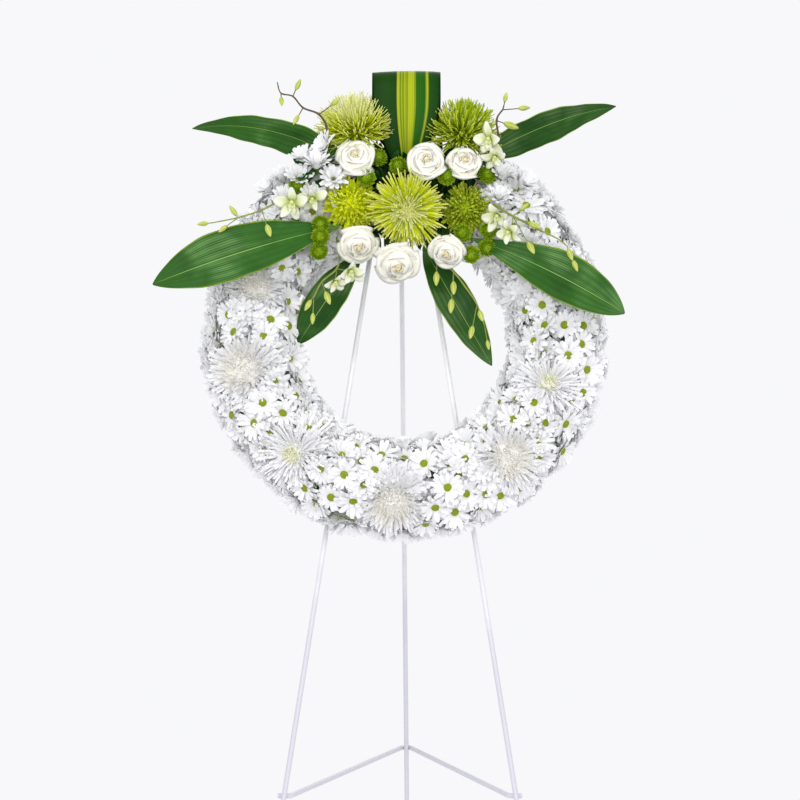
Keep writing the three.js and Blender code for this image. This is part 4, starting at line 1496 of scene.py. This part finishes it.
@dataclass
class DaisyBed:
    """Sprays of daisies pushed into the foam side by side, so that their heads make a cushion."""

    mums: Mums  # whose white heads the daisies leave room for
    radius: float = RING_RADIUS
    middle: float = FOAM_MIDDLE
    skin: float = 55
    crest: float = 9  # how much prouder the heads stand beside the green spray
    start: float = 112  # degrees, from which the sprays go round by the bottom
    sweep: float = 310
    sprays: int = 11
    pitch: float = 27
    head: float = 22.5
    eye: float = 5.3
    petals: int = 14  # in each of two whorls
    cut: PetalCut = PetalCut(4, 3, 0.5, 0.6, 0.6, 0.18, 0.35)
    leaf: PetalCut = PetalCut(5, 3, 0.2, 0.45, 0.15, 0.2, 0.6)
    facing: list[tuple[int, int]] = field(
        default_factory=lambda: [
            (-219, 22), (-212, 0), (-146, 41), (-166, 16), (-146, 11), (-174, -6), (-158, -64),
            (-214, -101), (-185, -114), (-174, -90), (-149, -102), (-118, -120), (-103, -172),
            (-74, -179), (-122, -192), (-90, -205), (-63, -211), (-78, -231), (-50, -191),
            (-37, -174), (-18, -175), (-29, -153), (23, -164), (52, -194), (74, -160), (61, -222),
            (37, -218), (75, -201), (99, -201), (117, -202), (133, -110), (73, -240), (170, 33),
            (172, 8), (196, 7), (221, 8), (160, -12), (218, -15), (200, -31), (224, -46),
            (218, -74), (158, -89), (136, -83), (197, -114), (193, -144), (205, 67), (152, 77),
            (232, 47), (-150, 175), (-196, 103), (150, 159), (176, 125),
        ]
    )
    proud: list[Place] = field(
        default_factory=lambda: [
            (-98, 226, 104), (-108, 201, 112), (-124, 212, 96), (-88, 188, 104), (-130, 189, 94),
            (-150, 190, 78), (-166, 178, 76), (-115, 167, 94), (-146, 163, 88), (-78, 170, 92),
            (120, 192, 92), (143, 183, 84), (117, 166, 94),
        ]
    )  # fmt: skip

    def grid(
        self, step: float, pitch: float, rng: np.random.Generator
    ) -> tuple[Array, Array]:
        """A staggered grid round the section, in which each row is as long as the ring is there.

        Args:
            step: Degrees round the section between two rows.
            pitch: Millimetres along a row between two heads.
            rng: For the grid's unevenness.

        Returns:
            The heads' angles round the ring and round its section, in radians.
        """
        rounds, sections = [], []
        for row, section in enumerate(np.radians(np.arange(-4 * step, 4.1 * step, step))):
            ring = self.radius + self.skin * math.sin(section)
            count = round(math.radians(self.sweep) * ring / pitch)
            share = (np.arange(count) + (0.25 if row % 2 else 0.75)) / count
            angle = math.radians(self.start) + math.radians(self.sweep) * share
            rounds.append(angle + rng.normal(0, 3.5, count) / ring)
            sections.append(section + rng.normal(0, 0.06, count))
        return np.concatenate(rounds), np.concatenate(sections)

    def places(self, rng: np.random.Generator) -> tuple[Array, Array, Array]:
        """Where the heads stand: their angle round the ring, round the section, and their depth.

        The heads that look to the front stand where they are listed, and so do those that are
        prouder than the cushion. The others fill a grid between them and the mums, and a wider
        grid of sunk heads closes the gaps.

        Args:
            rng: For the grids' unevenness.

        Returns:
            The three arrays, in radians and millimetres; depth is how far a head is sunk.
        """
        x, up = np.array(self.facing, float).T
        off = np.clip((np.hypot(x, up) - self.radius) / self.skin, -0.97, 0.97)
        layers = [(np.arctan2(up, x), np.arcsin(off)), self.grid(20.5, self.pitch, rng)]
        layers.append(self.grid(20, 1.15 * self.pitch, rng))
        layer = np.repeat(np.arange(3), [len(angle) for angle, _ in layers])
        angle = np.concatenate([rounds for rounds, _ in layers])
        section = np.concatenate([sections for _, sections in layers])
        ring = self.radius + self.skin * np.sin(section)
        flat = np.stack([ring * np.cos(angle), ring * np.sin(angle)], axis=-1)
        near = np.hypot(*(flat[:, None] - flat[None, layer == 0]).transpose(2, 0, 1)).min(axis=1)
        front = np.cos(section) > 0.35
        keep = (layer != 1) | ~front | (near > 17)
        for (mx, mup, _), size, _ in self.mums.white:
            inside = np.hypot(flat[:, 0] - mx, flat[:, 1] - mup) < size * 0.62
            keep &= (layer == 0) | ~front | ~inside
        depth = rng.uniform(0, 1, len(angle)) * 5 + np.array([-4, 0.5, 10])[layer]
        x, up, out = np.array(self.proud, float).T
        beyond, above = np.hypot(x, up) - self.radius, out - self.middle
        return (
            np.concatenate([angle[keep], np.arctan2(up, x)]),
            np.concatenate([section[keep], np.arctan2(beyond, above)]),
            np.concatenate([depth[keep], self.skin - np.hypot(beyond, above)]),
        )

    def spray(
        self, number: int, angle: Array, section: Array, depth: Array, rng: np.random.Generator
    ) -> None:
        """One spray: its heads with eyes, two whorls of petals, stems and leaves.

        Args:
            number: Which spray, from 1.
            angle: Each head's angle round the ring.
            section: Each head's angle round the ring's section, 0 at its crown.
            depth: How far each head is sunk into the cushion.
            rng: For the heads' unevenness.
        """
        count = len(angle)
        proud = self.crest * smooth(np.sin(angle), 0.3, 0.85) * np.sin(section).clip(0)
        skin = self.skin + proud - depth
        stand = self.radius + skin * np.sin(section)
        place = PLANE.on_ring(angle, stand, self.middle + skin * np.cos(section))
        hub = PLANE.on_ring(angle, np.full(count, self.radius), self.middle)
        axis = unit(unit(place - hub) + rng.normal(0, 0.2, (count, 3)))
        right, back = square_to(axis)
        hidden = np.where(depth < 0.4, 0.05, 0.42) + 0.75 * (depth < -6)
        hidden = hidden + 0.25 * smooth(np.abs(section), 1.2, 1.45)
        opened = np.clip(hidden + rng.normal(0, 0.14, count), -0.15, 1)
        size = self.head * (1 + rng.normal(0, 0.07, count))
        piece = Piece(f"daisies_{number:02d}")
        shown = depth < 8
        for whorl, growing in enumerate((np.arange(count), np.flatnonzero(shown))):
            k = np.arange(self.petals) + 0.5 * whorl
            turn = rng.random((len(growing), 1)) * 7 + k * 2 * np.pi / self.petals
            turn = (turn + rng.normal(0, 0.08, turn.shape))[..., None]
            radial = np.cos(turn) * right[growing, None] + np.sin(turn) * back[growing, None]
            radial = radial.reshape(-1, 3)
            owner = np.repeat(growing, self.petals)
            many = len(owner)
            reach = (size[owner] - self.eye * 0.6) * (1 - 0.14 * whorl)
            self.cut.grow(
                piece,
                Sprouts(
                    base=place[owner] + radial * self.eye * 0.6 - axis[owner] * (3.4 - 1.2 * whorl),
                    along=radial,
                    face=axis[owner],
                    length=reach * (1 + rng.normal(0, 0.06, many)),
                    width=size[owner] * (0.28 + rng.normal(0, 0.025, many)),
                    lift=opened[owner] + 0.2 + 0.28 * whorl + rng.normal(0, 0.09, many),
                    curl=-0.35 - opened[owner] * 0.3 + rng.normal(0, 0.16, many),
                    age=np.ones(many),
                    chance=rng.random(many),
                ),
                DAISY,
            )
        dome = [(1.0, -0.62), (1.04, -0.3), (0.86, 0.02), (0.42, 0.2)]
        eyed = shown & (depth > -6)
        piece.add(turned(np.array(dome) * self.eye, place[eyed], axis[eyed], 10), EYE)
        self.greens(piece, place[shown], axis[shown], hub[shown], rng)
        name = f"daisy_spray_{number:02d}"
        piece.build(Body.FRONT, Slot.WHITE, name, crease=70)

    def greens(
        self, piece: Piece, place: Array, axis: Array, hub: Array, rng: np.random.Generator
    ) -> None:
        """The stems and leaves under the heads.

        A stem's middle line is the straight from the foam to the head plus a bow of
        4 s (1 - s), and each head has two leaves on its stem.

        Args:
            piece: The spray.
            place: The heads' places.
            axis: The way that they face.
            hub: The middle of the foam behind each head.
            rng: For the leaves' directions.
        """
        count = len(place)
        s = np.linspace(0, 1, 4)[None, :, None]
        foot = hub + unit(place - hub) * 33
        neck = place - axis * 4
        bow = 4 * s * (1 - s) * rng.normal(0, 1.5, (count, 1, 3))
        line = foot[:, None] * (1 - s) + neck[:, None] * s + bow
        ahead = unit(np.gradient(line, axis=1))
        side = unit(np.cross(ahead, rng.normal(0, 1, (count, 1, 3))))
        turn = (np.arange(5) * 2 * np.pi / 5)[:, None]
        around = np.cos(turn) * side[:, :, None] + np.sin(turn) * np.cross(ahead, side)[:, :, None]
        piece.add(line[:, :, None] + 1.3 * around, STEM)
        owner = np.repeat(np.arange(count), 2)
        out = unit(place - hub)[owner]
        radial = astray(out, rng)
        leaves = Sprouts(
            base=place[owner] - out * 15 + radial * 2,
            along=radial,
            face=out,
            length=rng.uniform(22, 30, 2 * count),
            width=rng.uniform(11, 15, 2 * count),
            lift=rng.uniform(0.1, 0.5, 2 * count),
            curl=rng.uniform(-0.6, 0, 2 * count),
            age=np.ones(2 * count),
            chance=rng.random(2 * count),
        )
        self.leaf.grow(piece, leaves, GREENS)

    def build(self) -> None:
        """Shares the heads out to the sprays by their angle, and builds each spray."""
        rng = np.random.default_rng(7)
        angle, section, depth = self.places(rng)
        turn = np.degrees(angle - math.radians(self.start)) % 360
        share = np.clip(turn / (self.sweep / self.sprays), 0, self.sprays - 0.01)
        share = np.where(turn > self.sweep + 20, 0, share).astype(int)
        for number in range(self.sprays):
            mine = share == number
            self.spray(number + 1, angle[mine], section[mine], depth[mine], rng)


# ---------------------------------------------------------------- Leaves


@dataclass
class BroadLeaf:
    """A long leaf on its stalk: folded a little along its midrib, with a wavy edge."""

    name: str
    root: Place
    base: Place
    middle: Place
    tip: Place
    width: float
    belly: float  # above 0.7 it is widest towards the tip, below it towards the base
    face: Place
    finish: Finish = LEAF
    rows: int = 64
    columns: int = 17

    def surface(self) -> Array:
        """The leaf's middle surface.

        The midrib is the quadratic curve from base by middle to tip. Across it the point moves
        by half the width times sin(pi s ** belly) ** 0.75 times t, and rises by a quarter of
        that, with low waves along the edge.

        Returns:
            Points of shape (1, rows, columns, 3).
        """
        a, b, c = (PLANE.spot(p) for p in (self.base, self.middle, self.tip))
        s = np.linspace(0, 1, self.rows)[:, None]
        t = np.linspace(-1, 1, self.columns)[None, :, None]
        line = a * (1 - s) ** 2 + 2 * b * s * (1 - s) + c * s**2
        along = unit(2 * (b - a) * (1 - s) + 2 * (c - b) * s)
        across = unit(np.cross(PLANE.turn(self.face), along))
        out = np.cross(along, across)
        swell = np.maximum(np.sin(np.pi * s**self.belly).clip(0) ** 0.75, 0.035)
        side = (self.width / 2 * swell)[:, None] * t
        fold = 0.25 * (np.sqrt(side**2 + 4) - 2)
        wave = 1.6 * np.sin(2 * np.pi * 2.6 * s + self.tip[0])[:, None] * t**3
        wave = (wave + 0.8 * np.sin(2 * np.pi * 6.2 * s)[:, None] * t**2) * swell[:, None]
        return (line[:, None] + across[:, None] * side + out[:, None] * (fold + wave))[None]

    def build(self) -> None:
        """The blade and its stalk."""
        piece = Piece(f"{self.name}_blade")
        piece.add_blades(self.surface(), 1.1, self.finish)
        root, base = PLANE.spot(self.root), PLANE.spot(self.base)
        middle = PLANE.spot(self.middle)
        inside = base + (middle - base) * 0.1
        corner = spline(np.array([root, base, inside]), 14)
        beside = square_to(unit(base - root))[0][0]
        taper = np.linspace(2.0, 1.1, 14)
        piece.add(tube(corner, taper, 10, beside), STEM)
        piece.build(Body.FRONT, Slot.LEAF, self.name)


@dataclass
class LoopLeaf:
    """One broad striped leaf folded over into a loop, both of its ends in the foam."""

    path: list[Place] = field(
        default_factory=lambda: [
            (2, 197, 48), (2, 222, 74), (2, 269, 92), (2, 319, 94), (2, 337, 72), (2, 321, 48),
            (2, 269, 38), (2, 241, 42), (2, 225, 48),
        ]
    )
    width: float = 86
    rows: int = 96
    columns: int = 21

    def build(self) -> None:
        """A strip along the path, narrow at both ends and dished a little across."""
        line = spline(PLANE.spot(self.path), self.rows)[:, None]
        s = np.linspace(0, 1, self.rows)[:, None, None]
        t = np.linspace(-1, 1, self.columns)[None, :, None]
        taper = 0.14 + 0.86 * smooth(np.minimum(s, 1 - s), 0, 0.3)
        out = unit(np.cross(np.gradient(line[:, 0], axis=0), RIGHT))[:, None]
        dish = 1.2 * t**2 * taper + 0.5 * np.sin(9 * s) * t
        strip = line + RIGHT * (self.width / 2 * taper * t) + out * dish
        piece = Piece("striped_loop")
        piece.add_blades(strip[None, ::-1], 1.1, STRIPED)
        piece.build(Body.FRONT, Slot.VARIEGATED, "folded_leaf_loop")


@dataclass
class Leaves:
    """The six broad leaves that spread from the spray, the loop and the filler greens."""

    blades: list[BroadLeaf] = field(
        default_factory=lambda: [
            BroadLeaf(
                "upper_left_leaf", (-62, 196, 48), (-74, 222, 60), (-171, 274, 93),
                (-267, 262, 74), 46, 0.72, (0.1, -0.75, 0.65),
            ),
            BroadLeaf(
                "upper_right_leaf", (84, 196, 48), (98, 228, 62), (183, 272, 96),
                (266, 291, 74), 46, 0.75, (-0.1, -0.75, 0.65), DEEP,
            ),
            BroadLeaf(
                "lower_left_leaf", (-106, 140, 48), (-77, 133, 88), (-194, 97, 126),
                (-309, 54, 106), 69, 1.3, (0, 0.1, 1),
            ),
            BroadLeaf(
                "lower_right_leaf", (104, 142, 48), (78, 119, 84), (174, 73, 132),
                (269, 18, 104), 62, 1.5, (0, 0.1, 1),
            ),
            BroadLeaf(
                "inner_left_leaf", (-52, 156, 42), (-52, 109, 58), (-96, 46, 76),
                (-133, -10, 52), 48, 1.2, (-0.2, 0, 1), DEEP,
            ),
            BroadLeaf(
                "inner_right_leaf", (43, 156, 42), (24, 112, 58), (64, 32, 78),
                (108, -38, 56), 48, 0.95, (0.2, 0, 1), DEEP,
            ),
        ]
    )  # fmt: skip
    fillers: int = 210

    def filler(self) -> None:
        """Small dark leaves pushed into the foam under the spray's flowers."""
        rng = np.random.default_rng(90)
        n = self.fillers
        angle = np.radians(rng.uniform(60, 119, n))
        section = np.where(np.arange(n) < n / 3, rng.uniform(-2, -1, n), rng.uniform(-1, 1.65, n))
        across, above = np.sin(section), np.cos(section)
        base = PLANE.on_ring(angle, RING_RADIUS + 30 * across, FOAM_MIDDLE + 30 * above)
        out = PLANE.on_ring(angle, RING_RADIUS + 31 * across, FOAM_MIDDLE + 31 * above) - base
        radial = astray(out, rng)
        leaves = Sprouts(
            base=base - out * 4,
            along=unit(out + radial * 0.5),
            face=unit(np.cross(np.cross(out, radial), unit(out + radial * 0.5))),
            length=rng.uniform(34, 52, n),
            width=rng.uniform(14, 20, n),
            lift=rng.uniform(-0.2, 0.2, n),
            curl=rng.uniform(-1.1, -0.3, n),
            age=np.ones(n),
            chance=rng.random(n),
        )
        piece = Piece("filler_greens")
        PetalCut(9, 5, 0.15, 0.45, 0.12, 0.25, 0.7).grow(piece, leaves, GREENS)
        piece.build(Body.FRONT, Slot.LEAF)

    def build(self) -> None:
        """Every leaf."""
        for blade in self.blades:
            blade.build()
        LoopLeaf().build()
        self.filler()


# ---------------------------------------------------------------- Orchids


@dataclass
class Orchid:
    """An arching spray of small orchids: its stem, open blossoms and buds.

    Each blossom or bud is its place, the stem's knot that its stalk leaves and its radius.
    """

    name: str
    stem: list[Place]
    blossoms: list[tuple[Place, int, float]]
    buds: list[tuple[Place, int, float]]
    bark: Finish = SPRIG
    tepal: PetalCut = PetalCut(8, 5, 0.3, 0.5, 0.22, 0.35, 0.6)

    def blossom(
        self, piece: Piece, place: Array, axis: Array, radius: float, rng: np.random.Generator
    ) -> None:
        """Five spread tepals, a ruffled lip and the column over it."""
        radius *= 1.2
        turn = np.radians([90, 18, 162, -52, 232]) + rng.normal(0, 0.16, 5) + rng.normal(0, 0.3)
        radial = spokes(axis, turn)
        width = np.array([0.62, 0.86, 0.86, 0.62, 0.62]) * radius
        sprouts = Sprouts(
            base=place + radial * 0.08 * radius - axis * 0.1 * radius,
            along=radial,
            face=np.broadcast_to(axis, radial.shape),
            length=radius * (1.1 + rng.normal(0, 0.08, 5)),
            width=width,
            lift=rng.normal(0.9, 0.22, 5),
            curl=rng.normal(-0.9, 0.3, 5),
            age=np.ones(5),
            chance=rng.random(5),
        )
        self.tepal.grow(piece, sprouts, GHOST)
        radial = spokes(axis, np.radians([-90.0, -60.0, -120.0]))
        lips = Sprouts(
            base=np.broadcast_to(place, radial.shape),
            along=radial,
            face=np.broadcast_to(axis, radial.shape),
            length=radius * np.array([0.75, 0.42, 0.42]),
            width=radius * np.array([0.5, 0.34, 0.34]),
            lift=np.array([0.9, 1.2, 1.2]),
            curl=np.array([-1.6, -0.9, -0.9]),
            age=np.array([0.6, 0.1, 0.1]),
            chance=rng.random(3),
        )
        PetalCut(7, 5, 0.4, 0.7, 0.6, 0.5, 0.6).grow(piece, lips, GHOST)
        column = np.array([(0.05, -0.1), (0.12, 0.0), (0.11, 0.2), (0.13, 0.32), (0.06, 0.4)])
        back = square_to(axis)[1][0]
        piece.add(turned(column * radius, place, unit(axis + back * 0.4), 8), GHOST, age=0.05)

    def build(self, seed: int) -> None:
        """Grows the whole spray as one piece."""
        rng = np.random.default_rng(seed)
        knots = PLANE.spot(self.stem)
        line = spline(knots, 12 * len(knots))
        beside = np.cross(unit(knots[-1] - knots[0]), PLANE.turn((0.3, 0.5, 0.8)))
        taper = np.linspace(1.7, 0.7, len(line))
        joint = 1 + 0.16 * np.exp(-(((np.arange(len(line)) % 12) - 6) ** 2) / 3)
        piece = Piece(f"{self.name}_spray")
        piece.add(tube(line, taper * joint, 10, beside), self.bark)
        for heads, opened in ((self.blossoms, True), (self.buds, False)):
            for head, knot, radius in heads:
                place, start = PLANE.spot(head), knots[knot]
                axis = unit(place - start)
                stem(piece, start, place - axis * radius * 0.2, 0.7, self.bark)
                if opened:
                    aside = PLANE.turn((rng.normal(0, 0.5), rng.normal(-0.5, 0.3), 0.6))
                    facing = unit(axis + aside)
                    self.blossom(piece, place, facing, radius, rng)
                    continue
                size = 1.12 * radius
                bud = [(0.12, -1.3), (0.3, -1.1), (0.5, -0.6), (0.6, 0.0), (0.56, 0.5)]
                bud += [(0.42, 1.1), (0.24, 1.6), (0.08, 1.9)]
                profile = np.array(bud) * (size, 0.88 * size)
                piece.add(turned(profile, place, axis, 12), BUD)
        piece.build(Body.FRONT, Slot.ORCHID, self.name)


@dataclass
class Orchids:
    """The six orchid sprays."""

    sprays: list[Orchid] = field(
        default_factory=lambda: [
            Orchid(
                "upper_left_orchid",
                [(-104, 190, 46), (-108, 222, 92), (-97, 249, 112), (-107, 271, 104),
                 (-127, 282, 97), (-140, 297, 96), (-155, 302, 94), (-160, 317, 91)],
                [],
                [((-134, 311, 96), 5, 5), ((-154, 291, 98), 6, 4.5), ((-135, 267, 98), 4, 4.5),
                 ((-87, 281, 121), 3, 5)],
                TWIG,
            ),
            Orchid(
                "upper_right_orchid",
                [(104, 194, 46), (116, 232, 102), (114, 262, 108), (122, 279, 98), (124, 286, 94)],
                [((105, 234, 118), 1, 16), ((112, 214, 114), 1, 13)],
                [((126, 296, 92), 4, 4.5), ((148, 283, 92), 3, 5), ((131, 259, 98), 2, 7)],
                TWIG,
            ),
            Orchid(
                "left_orchid",
                [(-122, 158, 46), (-126, 168, 98), (-149, 161, 108), (-176, 146, 114),
                 (-205, 136, 115), (-236, 130, 113)],
                [((-113, 160, 114), 1, 14), ((-138, 153, 120), 2, 17)],
                [((-247, 129, 112), 5, 4.5), ((-222, 122, 117), 4, 4.5), ((-210, 143, 116), 4, 5),
                 ((-167, 118, 126), 3, 6)],
            ),
            Orchid(
                "right_orchid",
                [(118, 160, 46), (110, 156, 100), (133, 138, 114), (165, 119, 120),
                 (186, 108, 122), (198, 98, 124)],
                [((114, 138, 118), 1, 16), ((128, 115, 126), 2, 14)],
                [((146, 149, 114), 2, 4.5), ((157, 124, 126), 2, 6), ((153, 96, 128), 2, 6),
                 ((201, 88, 127), 5, 5.5), ((207, 74, 126), 5, 5)],
            ),
            Orchid(
                "lower_left_orchid",
                [(-88, 141, 46), (-81, 97, 92), (-84, 75, 100), (-102, 58, 102), (-112, 38, 100)],
                [((-67, 68, 116), 2, 15), ((-86, 56, 114), 2, 12)],
                [((-95, 38, 108), 3, 6), ((-118, 30, 102), 3, 5), ((-113, 14, 98), 4, 4.5)],
            ),
            Orchid(
                "lower_right_orchid",
                [(40, 162, 42), (40, 96, 86), (60, 74, 90), (76, 52, 91), (89, 32, 90),
                 (98, 6, 88)],
                [],
                [((39, 66, 92), 1, 6), ((60, 53, 97), 2, 6), ((57, 30, 98), 2, 6),
                 ((93, 18, 96), 4, 5.5), ((82, -2, 94), 4, 5.5), ((102, -17, 88), 5, 4)],
            ),
        ]
    )  # fmt: skip

    def build(self) -> None:
        """Each spray as one piece."""
        for number, spray in enumerate(self.sprays):
            spray.build(120 + number)


# ---------------------------------------------------------------- Studio


@dataclass(frozen=True)
class Lamp:
    """A square soft light: its place, the length of its side in metres and its power in watts."""

    name: str
    place: Place
    size: float
    power: float


@dataclass
class Studio:
    """A pale floor, soft lights and the camera: lengths in metres, the lens in millimetres."""

    camera_place: Place = (0.0139, -2.7602, 0.787)
    lens: float = 94.3
    floor_radius: float = 1.2
    floor_hole: float = 0.02  # radius of the innermost ring, which a fan closes
    floor_height: float = -0.0004
    rings: int = 40
    sides: int = 96
    target: Place = (0, -0.1, 0.8)
    lamps: tuple[Lamp, ...] = (
        Lamp("key", (-0.9, -2.4, 2.6), 1.6, 22),
        Lamp("front", (0, -3.2, 1.0), 1.4, 17),
        Lamp("fill", (1.8, -2.2, 1.2), 2.0, 10),
        Lamp("back", (0.6, 2.4, 2.4), 1.6, 14),
    )

    def camera(self) -> None:
        """A level camera in front of the wreath."""
        data = bpy.data.cameras.new("camera")
        data.lens, data.sensor_width = self.lens, 36
        made = bpy.data.objects.new("camera", data)
        made.location = self.camera_place
        made.rotation_euler = (math.pi / 2, 0, 0)
        bpy.context.scene.collection.objects.link(made)
        bpy.context.scene.camera = made

    def light(self, lamp: Lamp) -> None:
        """A lamp aimed at the wreath and hidden from the camera."""
        data = bpy.data.lights.new(lamp.name, "AREA")
        data.shape, data.size, data.energy = "SQUARE", lamp.size, lamp.power
        made = bpy.data.objects.new(lamp.name, data)
        made.location = lamp.place
        way = Vector(self.target) - Vector(lamp.place)
        made.rotation_euler = way.to_track_quat("-Z", "Y").to_euler()
        made.visible_camera = False
        bpy.context.scene.collection.objects.link(made)

    def floor(self) -> None:
        """A round floor under the feet, in rings."""
        radius = np.linspace(self.floor_hole, self.floor_radius, self.rings)[:, None]
        turn = np.linspace(0, 2 * np.pi, self.sides, endpoint=False)[None]
        parts = (radius * np.cos(turn), radius * np.sin(turn), self.floor_height)
        points = np.stack(np.broadcast_arrays(*parts), axis=-1)
        quads, _ = stitched(1, self.rings, self.sides, False)
        pole = self.rings * self.sides
        middle = [(pole, (k + 1) % self.sides, k) for k in range(self.sides)]
        points = np.vstack([points.reshape(-1, 3), [[0, 0, self.floor_height]]])
        mesh = bpy.data.meshes.new("studio_floor")
        faces = [q[::-1] for q in quads.tolist()] + [m[::-1] for m in middle]
        mesh.from_pydata(points, [], faces)
        mesh.materials.append(FLOOR.material())
        made = bpy.data.objects.new("studio_floor", mesh)
        bpy.context.scene.collection.objects.link(made)

    def air(self) -> None:
        """The pale surroundings: even to the eye, and an even, dimmer light on the object."""
        world = bpy.data.worlds.new("studio")
        world.use_nodes = True
        tree = world.node_tree
        tree.nodes.clear()
        seen = tree.nodes.new("ShaderNodeBackground")
        seen.inputs[0].default_value = (*tone("f8f8fa"), 1)
        cast = tree.nodes.new("ShaderNodeBackground")
        cast.inputs[0].default_value = (0.97, 0.97, 1.0, 1)
        cast.inputs[1].default_value = 0.81
        rays = tree.nodes.new("ShaderNodeLightPath")
        both = tree.nodes.new("ShaderNodeMixShader")
        end = tree.nodes.new("ShaderNodeOutputWorld")
        tree.links.new(rays.outputs["Is Camera Ray"], both.inputs[0])
        tree.links.new(cast.outputs[0], both.inputs[1])
        tree.links.new(seen.outputs[0], both.inputs[2])
        tree.links.new(both.outputs[0], end.inputs[0])
        bpy.context.scene.world = world

    def build(self) -> None:
        """Everything round the object."""
        self.camera()
        self.floor()
        self.air()
        for lamp in self.lamps:
            self.light(lamp)
        scene = bpy.context.scene
        scene.view_settings.view_transform = "Standard"
        scene.view_settings.look = "None"


def main() -> None:
    """Builds the object and its studio."""
    logging.basicConfig(level=logging.INFO, format="%(name)s: %(message)s")
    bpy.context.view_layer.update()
    Studio().build()
    easel = Easel()
    easel.build()
    FoamRing(easel).build()
    mums = Mums()
    mums.build()
    Roses().build()
    Buttons().build()
    Leaves().build()
    Orchids().build()
    DaisyBed(mums).build()


if __name__ == "__main__":
    main()
